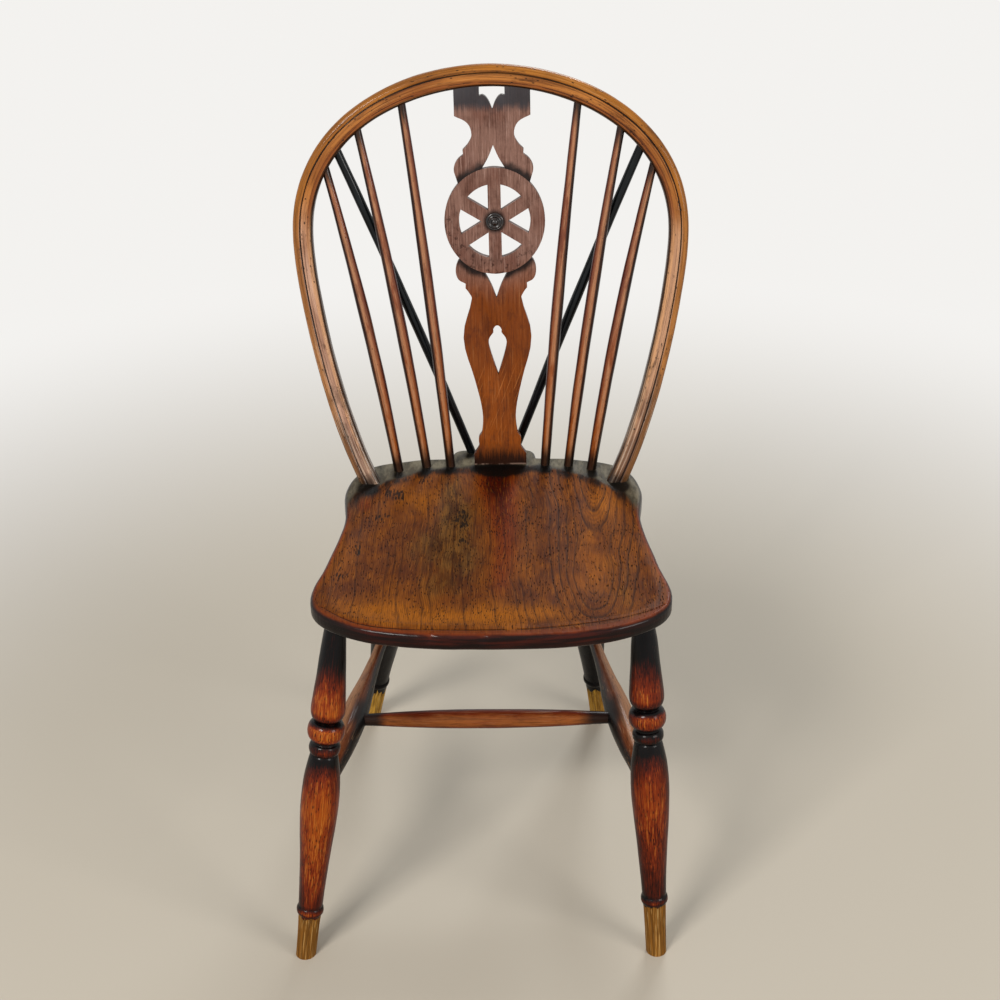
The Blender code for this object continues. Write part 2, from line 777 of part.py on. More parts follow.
def let_in(name, row, share, forward, radii, material, seat, hoop):
    """A rod sprung between its socket in the seat and its socket in the hoop, with both sockets."""
    _, seat_x, behind, inset, spring = row
    on_seat = Vector((seat_x, BACK_FOOT + behind, SEAT_TOP))
    at_hoop = on_back(*in_hoop(math.copysign(1.0, seat_x), share, inset), forward)
    towards_middle = Vector((-math.copysign(spring, at_hoop.x), 0.0, 0.0))
    bend = on_seat.lerp(at_hoop, 0.5) + 2 * towards_middle
    foot = on_seat - (bend - on_seat).normalized() * SEAT_SOCKET_DEPTH
    head = at_hoop + (at_hoop - bend).normalized() * HOOP_SOCKET_DEPTH
    sprung_rod(name, foot, on_seat, bend, at_hoop, head, radii, material)
    cut(seat, socket(f"{name}_seat_socket", on_seat, foot, radii[0][1]))
    cut(hoop, socket(f"{name}_hoop_socket", at_hoop, head, radii[-1][1]))


def make_sticks(seat, hoop):
    for row, share in zip(STICKS, STICK_SHARES):
        name = f"stick_{row[0]}"
        let_in(name, row, share, STICK_SET_FORWARD, STICK_RADII, stick_wood, seat, hoop)


def make_braces(seat, hoop):
    for row, share in zip(BRACES, BRACE_SHARES):
        name = f"brace_{row[0]}"
        let_in(name, row, share, -BRACE_SET_BACK, BRACE_RADII, brace_wood, seat, hoop)


# Legs and stretchers
leg_wood = wood("leg_wood", (0.235, 0.065, 0.022), 0.32)
stretcher_wood = wood("stretcher_wood", (0.24, 0.100, 0.050), 0.40)


def bead(middle, half, neck, radius, steps):
    """A turned ring: points of (height, radius) over a round of the given half height."""
    points = []
    for step in range(steps + 1):
        angle = math.pi * step / steps
        height = middle - half * math.cos(angle)
        points.append((height, neck + (radius - neck) * math.sin(angle)))
    return points


# The turning of a leg, by height over the sole: (height, radius, kind), and each ring's
# (height, half its height, radius at its neck, radius)
LEG_FOOT = (
    (-SOLE_ALLOWANCE, 0.0118, CORNER),
    (0.0300, 0.0123, SMOOTH),
)
LEG_FOOT_TOP = (0.0545, 0.0132, CORNER)
FOOT_RING = (0.0600, 0.0050, 0.0133, 0.0153)
LEG_VASE = (
    (0.0655, 0.0136, CORNER),
    (0.0900, 0.0147, SMOOTH),
    (0.1300, 0.0172, SMOOTH),
    (0.1730, 0.0203, SMOOTH),
    (0.2020, 0.0214, SMOOTH),
    (0.2300, 0.0202, SMOOTH),
    (0.2520, 0.0168, SMOOTH),
    (0.2590, 0.0153, CORNER),
)
LOWER_RING = (0.2675, 0.0066, 0.0138, 0.0173)
UPPER_RING = (0.2890, 0.0115, 0.0136, 0.0206)
LEG_BULB = (
    (0.3025, 0.0144, CORNER),
    (0.3065, 0.0176, SMOOTH),
    (0.3145, 0.0190, SMOOTH),
    (0.3310, 0.0180, SMOOTH),
    (0.3530, 0.0161, SMOOTH),
    (0.3780, 0.0144, SMOOTH),
)


def leg_profile(length, slant, lift):
    """Heights up the leg from the sole with their radii, top first, for its length and slant."""

    def lifted(knots):
        return [(height + lift, radius, kind) for height, radius, kind in knots]

    def turning(knots, steps):
        return [tuple(point) for point in flowing(knots, closed=False, steps=steps)]

    def ring(shape, steps):
        middle, half, neck, radius = shape
        return bead(middle + lift, half, neck, radius, steps)

    neck_height = length - LEG_TENON_RADIUS * slant - LEG_NECK
    neck = (neck_height, LEG_TENON_RADIUS, CORNER)
    profile = turning([*LEG_FOOT, *lifted([LEG_FOOT_TOP])], 1)
    profile += ring(FOOT_RING, 4)
    profile += turning(lifted(LEG_VASE), 2)
    profile += ring(LOWER_RING, 4)
    profile += ring(UPPER_RING, 6)
    profile += turning([*lifted(LEG_BULB), neck], 2)
    profile.append((length + LEG_TENON_LENGTH, LEG_TENON_RADIUS))
    return list(reversed(profile))


def leg_line(leg):
    """Where a leg's middle line meets the floor and the seat's underside."""
    _, foot_x, foot_y, top_x, top_y, _ = leg
    return Vector((foot_x, foot_y, 0.0)), Vector((top_x, top_y, SEAT_TOP - SEAT_THICKNESS))


def at_height(leg, height):
    """The point of a leg's middle line at a height above the floor."""
    sole, top = leg_line(leg)
    return sole.lerp(top, height / top.z)


def make_floor_cutter():
    """All that would lie below the floor: the soles are cut flat by its top."""
    bpy.ops.mesh.primitive_cube_add(size=1.0)
    floor = bpy.context.object
    floor.name = "below_floor"
    depth = 2 * SOLE_ALLOWANCE
    floor.scale = (1.0, 1.0, depth)
    floor.location = (0.0, 0.0, -depth / 2)
    for collection in floor.users_collection:
        collection.objects.unlink(floor)
    cutters.objects.link(floor)
    floor.parent = chair_frame
    floor.hide_render = True
    floor.display_type = "WIRE"
    return floor


def make_legs(seat):
    floor = make_floor_cutter()
    legs = {}
    for leg in LEGS:
        name, lift = leg[0], leg[5]
        sole, top = leg_line(leg)
        length = (top - sole).length
        slant = math.sqrt(length**2 - top.z**2) / top.z
        profile = leg_profile(length, slant, lift)
        part = turned(f"leg_{name}", profile, along(sole, top), LEG_SIDES, leg_wood)
        cut(part, floor)
        upward = (top - sole).normalized()
        end = top + upward * LEG_TENON_LENGTH
        cut(seat, socket(f"leg_{name}_socket", top, end, LEG_TENON_RADIUS))
        legs[name] = part
    return legs


STRETCHER_RADII = (
    (0.00, STRETCHER_END_RADIUS),
    (0.08, STRETCHER_END_RADIUS),
    (0.18, STRETCHER_BELLY_RADIUS * 0.62),
    (0.29, STRETCHER_BELLY_RADIUS * 0.86),
    (0.44, STRETCHER_BELLY_RADIUS),
    (0.56, STRETCHER_BELLY_RADIUS * 0.86),
    (0.68, STRETCHER_BELLY_RADIUS * 0.62),
    (0.85, STRETCHER_END_RADIUS),
    (1.00, STRETCHER_END_RADIUS),
)
CROSS_RADII = (
    (0.00, CROSS_END_RADIUS),
    (0.05, CROSS_END_RADIUS),
    (0.25, CROSS_BELLY_RADIUS * 0.88),
    (0.50, CROSS_BELLY_RADIUS),
    (0.75, CROSS_BELLY_RADIUS * 0.88),
    (0.95, CROSS_END_RADIUS),
    (1.00, CROSS_END_RADIUS),
)


def make_side_stretchers(legs):
    """Swelled stretchers from front leg to rear leg, and the middle line of each."""
    by_name = {leg[0]: leg for leg in LEGS}
    stretchers = {}
    for side in ("left", "right"):
        front = at_height(by_name[f"front_{side}"], STRETCHER_HEIGHT)
        rear = at_height(by_name[f"rear_{side}"], STRETCHER_HEIGHT)
        direction = (rear - front).normalized()
        start = front + direction * STRETCHER_SHORT_OF_AXIS
        end = rear - direction * STRETCHER_SHORT_OF_AXIS
        part = rod(f"stretcher_{side}", start, end, STRETCHER_RADII, stretcher_wood)
        middle = front.lerp(rear, 0.5)
        for leg_end, tip in (("front", start), ("rear", end)):
            name = f"stretcher_{side}_{leg_end}_socket"
            mouth = tip.lerp(middle, STRETCHER_MOUTH)
            cut(legs[f"{leg_end}_{side}"], socket(name, mouth, tip, STRETCHER_END_RADIUS))
        stretchers[side] = (part, front, rear)
    return stretchers


def make_cross_stretcher(stretchers):
    left_part, left_front, left_rear = stretchers["left"]
    right_part, right_front, right_rear = stretchers["right"]
    left = left_front.lerp(left_rear, CROSS_SHARE)
    right = right_front.lerp(right_rear, CROSS_SHARE)
    direction = (right - left).normalized()
    start = left + direction * CROSS_SHORT_OF_AXIS
    end = right - direction * CROSS_SHORT_OF_AXIS
    rod("stretcher_cross", start, end, CROSS_RADII, stretcher_wood)
    middle = left.lerp(right, 0.5)
    for part, tip, name in ((left_part, start, "left"), (right_part, end, "right")):
        mouth = tip.lerp(middle, STRETCHER_MOUTH)
        cut(part, socket(f"stretcher_cross_{name}_socket", mouth, tip, CROSS_END_RADIUS))


# Putting the chair together
seat = make_seat()
cut(seat, make_dish())
hoop = sweep_hoop("hoop", 0.0, hoop_wood, chair)
cut(seat, sweep_hoop("hoop_holes", FIT, None, cutters))
for side, name in ((-1, "left"), (1, "right")):
    cut(hoop, make_wedge(side, f"wedge_slot_{name}", FIT, None, cutters))
    make_wedge(side, f"hoop_wedge_{name}", 0.0, wedge_wood)

make_splat()
make_boss()
cut_mortises(seat, hoop)

make_sticks(seat, hoop)
make_braces(seat, hoop)
legs = make_legs(seat)
make_cross_stretcher(make_side_stretchers(legs))
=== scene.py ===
# %% [markdown]
# # A wheel-back side chair with worn feet
#
# The chair is an old country side chair: a one-board elm seat, a steam-bent hoop, a fretted splat
# with a wheel in its middle, round sticks, turned legs and an H of stretchers. Its finish is a
# dark stain and varnish that has worn through where hands, backs and shoes rub, and has gone
# altogether from the feet. The construction is loaded as a fixed frame, and every visible surface
# is then made again here at the fineness that the real one shows.

# %% Load the frame
import math

import bpy
import numpy as np
from mathutils import Matrix, Vector, noise
from mathutils.geometry import interpolate_bezier


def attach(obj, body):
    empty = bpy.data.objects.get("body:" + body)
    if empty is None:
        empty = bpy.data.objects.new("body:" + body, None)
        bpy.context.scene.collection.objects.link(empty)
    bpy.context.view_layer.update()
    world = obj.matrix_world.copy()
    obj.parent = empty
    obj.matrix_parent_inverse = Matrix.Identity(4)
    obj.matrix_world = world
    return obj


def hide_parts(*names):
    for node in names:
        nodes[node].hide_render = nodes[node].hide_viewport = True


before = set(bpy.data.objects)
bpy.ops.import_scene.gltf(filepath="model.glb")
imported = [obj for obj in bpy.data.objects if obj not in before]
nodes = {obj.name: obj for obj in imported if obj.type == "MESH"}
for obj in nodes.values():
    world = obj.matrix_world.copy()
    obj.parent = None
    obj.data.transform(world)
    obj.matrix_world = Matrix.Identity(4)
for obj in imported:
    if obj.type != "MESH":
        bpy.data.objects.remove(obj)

scene = bpy.context.scene
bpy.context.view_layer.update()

# %% [markdown]
# ## Camera
#
# The chair was photographed from a standing eye height, a little right of its middle, looking
# down at it. A camera can be aimed with a Track To constraint, but here its heading, its dip and
# its small roll are known, so its axes are written out: right, up and backwards are the columns
# of its matrix.

# %% Camera
EYE = Vector((0.030, -1.637, 1.376))
DIP = math.radians(29.08)
HEADING = math.radians(-0.74)
ROLL = math.radians(-0.77)
LENS = 59.4

level_right = Vector((math.cos(HEADING), -math.sin(HEADING), 0.0))
level_ahead = Vector((math.sin(HEADING), math.cos(HEADING), 0.0))
upward = Vector((0.0, 0.0, 1.0))
ahead = level_ahead * math.cos(DIP) - upward * math.sin(DIP)
over = level_ahead * math.sin(DIP) + upward * math.cos(DIP)
right = level_right * math.cos(ROLL) + over * math.sin(ROLL)
over = over * math.cos(ROLL) - level_right * math.sin(ROLL)

bpy.ops.object.camera_add()
camera = bpy.context.object
camera.name = "photographer"
camera.data.lens = LENS
camera.data.sensor_width = 36.0
turned = Matrix((right, over, -ahead)).transposed().to_4x4()
camera.matrix_world = Matrix.Translation(EYE) @ turned
scene.camera = camera
print("camera at", [round(v, 3) for v in camera.location])

# %% [markdown]
# ## Studio
#
# Varnished wood is judged by its highlights, so the light matters as much as the finish. An even
# white world alone would lay a grey veil over every dark surface. A dim world with three soft
# lamps leaves the darks deep and draws long highlights down the turned pieces. Together they
# light a surface at about the level where a colour shows as it is written. Light Path tells the
# world and a material which kind of ray has met it, so the world can look white to the camera and
# in reflections while it gives only a dim light.

# %% Studio
WORLD_LEVEL = 0.30
WHITE_LEVEL = 0.90
WHITE = (1.0, 0.985, 0.96, 1.0)
scene.view_settings.view_transform = "Standard"
world = bpy.data.worlds.new("studio")
scene.world = world
world.use_nodes = True
backdrop = world.node_tree.nodes["Background"]
backdrop.inputs["Color"].default_value = WHITE


def seen_white(tree):
    """1 for rays from the camera and for those seen by gloss or through glass, 0 for light."""
    ray = tree.nodes.new("ShaderNodeLightPath")
    total = ray.outputs["Is Camera Ray"]
    for kind in ("Is Glossy Ray", "Is Transmission Ray"):
        either = tree.nodes.new("ShaderNodeMath")
        either.operation = "MAXIMUM"
        tree.links.new(total, either.inputs[0])
        tree.links.new(ray.outputs[kind], either.inputs[1])
        total = either.outputs["Value"]
    return total


strength = world.node_tree.nodes.new("ShaderNodeMapRange")
strength.inputs["To Min"].default_value = WORLD_LEVEL
strength.inputs["To Max"].default_value = WHITE_LEVEL
world.node_tree.links.new(seen_white(world.node_tree), strength.inputs["Value"])
world.node_tree.links.new(strength.outputs["Result"], backdrop.inputs["Strength"])


def soft_lamp(name, place, aim, size, power, tint):
    """A square lamp at place, turned towards aim."""
    bpy.ops.object.light_add(type="AREA", location=place)
    lamp = bpy.context.object
    lamp.name = name
    lamp.data.shape = "SQUARE"
    lamp.data.size = size
    lamp.data.energy = power
    lamp.data.color = tint
    lamp.rotation_euler = (Vector(aim) - Vector(place)).to_track_quat("-Z", "Y").to_euler()
    return lamp


CHAIR_MIDDLE = (0.0, 0.0, 0.45)
soft_lamp("key", (-1.4, -2.1, 2.4), CHAIR_MIDDLE, 0.9, 66.0, (1.0, 0.97, 0.93))
soft_lamp("fill", (2.1, -1.6, 1.5), CHAIR_MIDDLE, 1.1, 30.0, (1.0, 0.98, 0.95))
soft_lamp("rim", (0.6, 2.2, 2.3), CHAIR_MIDDLE, 0.9, 36.0, (0.93, 0.97, 1.0))
print("studio: world at", WORLD_LEVEL, "and 3 lamps")

# %% [markdown]
# The floor is pale near the chair, where it has to show the chair's shadow, and fades to an even
# white further off, the same white as the world behind it. That white too is seen by the camera
# and in reflections only, so it adds no light to the chair's matt surfaces.

# %% Floor
FLOOR_RADIUS = 16.0
FLOOR_COLOUR = (0.52, 0.47, 0.39, 1.0)
FADE_STARTS = 0.55
FADE_ENDS = 1.90
bpy.ops.mesh.primitive_circle_add(vertices=96, radius=FLOOR_RADIUS, fill_type="NGON")
floor = bpy.context.object
floor.name = "studio_floor"
floor_paint = bpy.data.materials.new("floor_paint")
floor_paint.use_nodes = True
floor_nodes = floor_paint.node_tree.nodes
floor_links = floor_paint.node_tree.links
floor_shader = floor_nodes["Principled BSDF"]
floor_shader.inputs["Base Color"].default_value = FLOOR_COLOUR
floor_shader.inputs["Roughness"].default_value = 0.8
far_white = floor_nodes.new("ShaderNodeEmission")
far_white.inputs["Color"].default_value = WHITE
far_white.inputs["Strength"].default_value = WHITE_LEVEL
floor_place = floor_nodes.new("ShaderNodeTexCoord")
from_chair = floor_nodes.new("ShaderNodeVectorMath")
from_chair.operation = "LENGTH"
fade = floor_nodes.new("ShaderNodeMapRange")
fade.interpolation_type = "SMOOTHSTEP"
fade.inputs["From Min"].default_value = FADE_STARTS
fade.inputs["From Max"].default_value = FADE_ENDS
share = floor_nodes.new("ShaderNodeMath")
share.operation = "MULTIPLY"
blend = floor_nodes.new("ShaderNodeMixShader")
floor_links.new(floor_place.outputs["Object"], from_chair.inputs[0])
floor_links.new(from_chair.outputs["Value"], fade.inputs["Value"])
floor_links.new(fade.outputs["Result"], share.inputs[0])
floor_links.new(seen_white(floor_paint.node_tree), share.inputs[1])
floor_links.new(share.outputs["Value"], blend.inputs["Fac"])
floor_links.new(floor_shader.outputs["BSDF"], blend.inputs[1])
floor_links.new(far_white.outputs["Emission"], blend.inputs[2])
floor_links.new(blend.outputs["Shader"], floor_nodes["Material Output"].inputs["Surface"])
floor.data.materials.append(floor_paint)
print("floor:", FLOOR_RADIUS, "m to its edge")

# %% [markdown]
# ## Small tools for the bench
#
# Blender's operators act on whatever is selected, and the frame arrives selected, so each step
# first takes up one piece alone. Positions are read and written in bulk with numpy, and what a
# finish needs to know about a place, such as how dirty it is, is painted on the mesh as a named
# attribute.

# %% Taking up a piece, and painting on it
SAME_PLACE = 1e-6


def take_up(piece):
    """Make this piece the only one selected, and the active one."""
    bpy.ops.object.select_all(action="DESELECT")
    piece.select_set(True)
    bpy.context.view_layer.objects.active = piece


def edit(piece):
    """Open a piece in edit mode with all of it selected."""
    take_up(piece)
    bpy.ops.object.mode_set(mode="EDIT")
    bpy.ops.mesh.select_all(action="SELECT")


def done():
    bpy.ops.object.mode_set(mode="OBJECT")


def face_outward():
    """In edit mode, turn every face of a closed solid outward."""
    bpy.ops.mesh.select_all(action="SELECT")
    bpy.ops.mesh.normals_make_consistent(inside=False)


def shade(piece, sharp_from):
    """Shade a piece smooth, apart from edges that turn by more than so many degrees."""
    take_up(piece)
    bpy.ops.object.shade_smooth_by_angle(angle=math.radians(sharp_from))


def places_of(piece):
    """The places of a mesh's points, one row each."""
    flat = np.empty(len(piece.data.vertices) * 3)
    piece.data.vertices.foreach_get("co", flat)
    return flat.reshape(-1, 3)


def normals_of(piece):
    flat = np.empty(len(piece.data.vertices) * 3)
    piece.data.vertices.foreach_get("normal", flat)
    return flat.reshape(-1, 3)


def move_points(piece, places):
    piece.data.vertices.foreach_set("co", np.asarray(places).ravel())
    piece.data.update()


def paint(piece, name, values):
    """Store a number or a vector at each point of a mesh, under a name that a finish can read."""
    values = np.asarray(values, dtype=np.float32)
    kind, field = ("FLOAT", "value") if values.ndim == 1 else ("FLOAT_VECTOR", "vector")
    layer = piece.data.attributes.new(name, kind, "POINT")
    layer.data.foreach_set(field, values.ravel())


def paint_grain(piece, places, seed):
    """Paint the places that the grain is drawn at, moved aside so that no two pieces match."""
    paint(piece, "grain", places + np.array([seed * 0.1, 0.0, 0.0]))


def put(piece, placing):
    """Place a finished shape and leave its object at the origin, unturned and unscaled."""
    piece.matrix_world = placing
    take_up(piece)
    bpy.ops.object.transform_apply(location=True, rotation=True, scale=True)


def apply(piece, modifier):
    take_up(piece)
    bpy.ops.object.modifier_apply(modifier=modifier.name)


def smooth_steps(values, low, high):
    """0 below low, 1 above high, and an even S between."""
    share = np.clip((values - low) / (high - low), 0.0, 1.0)
    return share * share * (3.0 - 2.0 * share)


def waver(places, scale, seed):
    """Smooth noise from -1 to 1 at each place; scale is in waves a metre along x, y and z."""
    shift = Vector((seed * 7.31, seed * 3.17, seed * 5.73))
    rows = places * np.asarray(scale)
    return np.array([noise.noise(Vector(row) + shift) for row in rows])


def by_hand(piece, amount, scale, seed):
    """Move the surface in and out a little, as hand tools and a century of use leave it."""
    places = places_of(piece)
    sway = waver(places, scale, seed)[:, None]
    move_points(piece, places + normals_of(piece) * sway * amount)


# %% [markdown]
# Turned pieces start as the line that a turner would draw on a card: heights and radii, flowing
# or with a sharp corner. The line is a curve made into edges, and Spin carries it once round the
# axis. A Screw modifier would do the same, but Spin leaves real points that can be worked on
# straight away.

# %% Lines and the lathe
SMOOTH = "smooth"
CORNER = "corner"
FLOW = 0.36


def flowing(knots, steps, closed=False):
    """Points of a line through knots (a, b, kind); it flows at SMOOTH and turns at CORNER."""
    count = len(knots)
    places = [Vector(knot[:2]) for knot in knots]

    def handle(index, other):
        before, after = (index - 1) % count, (index + 1) % count
        at_open_end = not closed and index in (0, count - 1)
        if knots[index][2] == CORNER or at_open_end:
            return places[index].lerp(places[other], 1 / 3)
        tangent = (places[after] - places[before]).normalized()
        reach = (places[other] - places[index]).length * FLOW
        return places[index] + tangent * reach * (1 if other == after else -1)

    points = []
    for index in range(count if closed else count - 1):
        after = (index + 1) % count
        stretch = interpolate_bezier(
            places[index], handle(index, after), handle(after, index), places[after], steps + 1
        )
        points.extend(point.to_2d() for point in stretch[:-1])
    if not closed:
        points.append(places[-1])
    return np.array(points)


def evenly(points, step):
    """The same line with its points about one step apart."""
    points = np.asarray(points, dtype=float)
    runs = np.hypot(*np.diff(points, axis=0).T)
    travelled = np.concatenate([[0.0], np.cumsum(runs)])
    stops = np.linspace(0.0, travelled[-1], max(2, round(travelled[-1] / step)) + 1)
    return np.column_stack([np.interp(stops, travelled, column) for column in points.T])


def bead(middle, half, neck, radius, steps=14):
    """A turned ring: points of (height, radius) over a round of the given half height."""
    angles = np.linspace(0.0, math.pi, steps + 1)
    heights = middle - half * np.cos(angles)
    return np.column_stack([heights, neck + (radius - neck) * np.sin(angles)])


def turn_on_lathe(name, profile, sides):
    """Spin a profile of (height, radius), bottom first, about the Z axis into a closed solid."""
    bottom, top = profile[0][0], profile[-1][0]
    line = [(bottom, 0.0), *profile, (top, 0.0)]
    drawing = bpy.data.curves.new(name, "CURVE")
    drawing.dimensions = "3D"
    spline = drawing.splines.new("POLY")
    spline.points.add(len(line) - 1)
    for point, (height, radius) in zip(spline.points, line):
        point.co = (radius, 0.0, height, 1.0)
    piece = bpy.data.objects.new(name, drawing)
    scene.collection.objects.link(piece)
    take_up(piece)
    bpy.ops.object.convert(target="MESH")
    piece = bpy.context.object
    edit(piece)
    bpy.ops.mesh.spin(steps=sides, angle=math.tau, center=(0, 0, 0), axis=(0, 0, 1))
    bpy.ops.mesh.select_all(action="SELECT")
    bpy.ops.mesh.remove_doubles(threshold=SAME_PLACE)
    face_outward()
    done()
    bpy.ops.object.shade_smooth()
    return piece


def along(base, tip):
    """The placing that stands a shape's Z axis on base and points it at tip."""
    direction = Vector(tip) - Vector(base)
    return Matrix.Translation(base) @ direction.to_track_quat("Z", "Y").to_matrix().to_4x4()


# %% [markdown]
# A rod or a hoop is easiest to shape straight and then bend, as the maker bent it out of the
# steamer. The Curve modifier does that: it carries the straight piece's Z axis along a Bezier
# path. The straight piece's own places are painted on it first, so that the grain follows the
# bend.

# %% Bending
def bent(piece, path, radii=None):
    """Bend a straight piece along a path of (place, handle before, handle after)."""
    drawing = bpy.data.curves.new(f"{piece.name}_path", "CURVE")
    drawing.dimensions = "3D"
    drawing.twist_mode = "Z_UP"
    drawing.resolution_u = 48
    drawing.use_radius = True
    spline = drawing.splines.new("BEZIER")
    spline.bezier_points.add(len(path) - 1)
    for index, (point, (place, before, after)) in enumerate(zip(spline.bezier_points, path)):
        point.handle_left_type = point.handle_right_type = "FREE"
        point.co, point.handle_left, point.handle_right = place, before, after
        point.radius = radii[index] if radii else 1.0
    guide = bpy.data.objects.new(drawing.name, drawing)
    scene.collection.objects.link(guide)
    bend = piece.modifiers.new("bend", "CURVE")
    bend.object = guide
    bend.deform_axis = "POS_Z"
    bpy.context.view_layer.update()
    apply(piece, bend)
    bpy.data.objects.remove(guide, do_unlink=True)
    return piece


def straight_between(start, end):
    """The handle of a straight stretch, a third of the way from start to end."""
    return start.lerp(end, 1 / 3)


def hand_in(piece, slot, finish, *replaced):
    """A finished piece: its look, its body and the solids that it stands for. Its slot is not
    used.
    """
    piece.data.materials.clear()
    piece.data.materials.append(finish)
    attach(piece, "root")
    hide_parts(*replaced)
    faces = sum(len(face.vertices) - 2 for face in piece.data.polygons)
    print(f"{piece.name}: {faces} triangles")


# %% [markdown]
# ## Writing a finish
#
# A wood finish is many layers, and a node tree built link by link hides its idea. So a socket is
# wrapped in a small class whose plus, minus, times and divide add Math nodes, and a finish reads
# like the sum that it is. Its between and fading turn such a number into a soft mask. Colours are
# written as they look on the chair, from 0 to 255.

# %% Sockets that do sums
class Wire:
    """A number that comes out of a socket. Arithmetic on it adds Math nodes to its finish."""

    def __init__(self, finish, socket):
        self.finish = finish
        self.socket = socket

    def sum_with(self, operation, first, second):
        return self.finish.node("ShaderNodeMath", {"operation": operation}, {0: first, 1: second})

    def __add__(self, other):
        return self.sum_with("ADD", self, other)

    def __sub__(self, other):
        return self.sum_with("SUBTRACT", self, other)

    def __rsub__(self, other):
        return self.sum_with("SUBTRACT", other, self)

    def __mul__(self, other):
        return self.sum_with("MULTIPLY", self, other)

    def __truediv__(self, other):
        return self.sum_with("DIVIDE", self, other)

    def __pow__(self, other):
        return self.sum_with("POWER", self, other)

    def __abs__(self):
        return self.finish.node("ShaderNodeMath", {"operation": "ABSOLUTE"}, {0: self})

    def fraction(self):
        return self.finish.node("ShaderNodeMath", {"operation": "FRACT"}, {0: self})

    def at_most(self, other):
        return self.sum_with("MINIMUM", self, other)

    def between(self, low, high):
        """0 below low, 1 above high, and an even S between."""
        values = {"Value": self, "From Min": low, "From Max": high}
        settings = {"interpolation_type": "SMOOTHSTEP"}
        return self.finish.node("ShaderNodeMapRange", settings, values)

    def fading(self, low, high):
        """1 below low, 0 above high: the other way round."""
        return 1.0 - self.between(low, high)

    def __radd__(self, other):
        return self + other

    def __rmul__(self, other):
        return self * other


def tone(red, green, blue):
    """A colour written as it looks, from 0 to 255, as the linear values that a shader takes."""
    levels = (value / 255 for value in (red, green, blue))
    linear = [v / 12.92 if v <= 0.04045 else ((v + 0.055) / 1.055) ** 2.4 for v in levels]
    return (*linear, 1.0)


class Finish:
    """A material's nodes, and short ways to add the ones that a wood finish is made of."""

    def __init__(self, name, specular=0.5, coat_roughness=0.2):
        self.material = bpy.data.materials.new(name)
        self.material.use_nodes = True
        self.tree = self.material.node_tree
        self.shader = self.tree.nodes["Principled BSDF"]
        self.shader.inputs["Specular IOR Level"].default_value = specular
        self.shader.inputs["Coat Roughness"].default_value = coat_roughness

    def node(self, kind, settings=None, values=None, output=0):
        """Add a node: its settings first, then the values or links of its sockets."""
        node = self.tree.nodes.new(kind)
        for setting, value in (settings or {}).items():
            setattr(node, setting, value)
        for socket, value in (values or {}).items():
            self.feed(node.inputs[socket], value)
        return Wire(self, node.outputs[output])

    def feed(self, socket, value):
        if isinstance(value, Wire):
            self.tree.links.new(value.socket, socket)
        else:
            socket.default_value = value

    def set(self, **sockets):
        """Feed sockets of the shader; base_color stands for Base Color."""
        for name, value in sockets.items():
            self.feed(self.shader.inputs[name.replace("_", " ").title()], value)

    def painted(self, name, output="Fac"):
        return self.node("ShaderNodeAttribute", {"attribute_name": name}, output=output)

    def place(self):
        return self.node("ShaderNodeTexCoord", output="Object")

    def parts(self, vector):
        """The x, y and z of a vector."""
        split = self.tree.nodes.new("ShaderNodeSeparateXYZ")
        self.feed(split.inputs[0], vector)
        return [Wire(self, socket) for socket in split.outputs]

    def vector(self, x, y, z=0.0):
        return self.node("ShaderNodeCombineXYZ", values={"X": x, "Y": y, "Z": z})

    def stretched(self, vector, scale):
        settings = {"operation": "MULTIPLY"}
        return self.node("ShaderNodeVectorMath", settings, {0: vector, 1: scale})

    def cloud(self, vector, scale, detail=3.0, roughness=0.55):
        """Noise from 0 to 1 about a half; scale is in waves a metre along x, y and z."""
        values = {
            "Vector": self.stretched(vector, scale),
            "Scale": 1.0,
            "Detail": detail,
            "Roughness": roughness,
        }
        return self.node("ShaderNodeTexNoise", {"noise_dimensions": "3D"}, values)

    def mix(self, share, first, second, blend="MIX"):
        """A colour between two colours."""
        settings = {"data_type": "RGBA", "blend_type": blend, "clamp_factor": True}
        return self.node("ShaderNodeMix", settings, {0: share, 6: first, 7: second}, output=2)

    def dots(self, vector, scale, inner, outer):
        """1 in small separate dots, each in its own cell; scale is in cells a metre."""
        values = {"Vector": self.stretched(vector, scale), "Scale": 1.0, "Randomness": 1.0}
        away = self.node("ShaderNodeTexVoronoi", {"feature": "F1"}, values, output="Distance")
        return away.fading(inner, outer)

    def relief(self, height, depth):
        """Feed the shader's normal from a height; depth is what a height of 1 is in metres."""
        values = {"Height": height, "Distance": depth, "Strength": 1.0}
        bump = self.node("ShaderNodeBump", values=values)
        self.feed(self.shader.inputs["Normal"], bump)


print("finish tools ready")

# %% [markdown]
# ## The seat
#
# The seat is one elm board, sawn to a shape that is broad in front and waisted at the back, with
# a tail for the brace sticks. Its top is dished for comfort, the edge is rounded over, and the
# underside is chamfered so that the board looks thinner than it is. The outline could be a
# Boolean cut, but an outline that is extruded ring by ring keeps the edge clean. Bisecting it on
# a grid then gives enough points to hollow the dish and cut the scribed line in true relief.

# %% Seat outline
SEAT_TOP = 0.436
SEAT_THICKNESS = 0.030
SEAT_FRONT = -0.233
SEAT_HALF_OUTLINE = (
    (0.0000, 0.0000, SMOOTH),
    (0.1000, 0.0065, SMOOTH),
    (0.1640, 0.0310, SMOOTH),
    (0.1915, 0.0690, SMOOTH),
    (0.1820, 0.1450, SMOOTH),
    (0.1700, 0.2400, SMOOTH),
    (0.1748, 0.3150, SMOOTH),
    (0.1540, 0.3680, SMOOTH),
    (0.1000, 0.3890, SMOOTH),
    (0.0520, 0.3935, CORNER),
    (0.0478, 0.4100, SMOOTH),
    (0.0370, 0.4160, SMOOTH),
    (0.0000, 0.4165, SMOOTH),
)


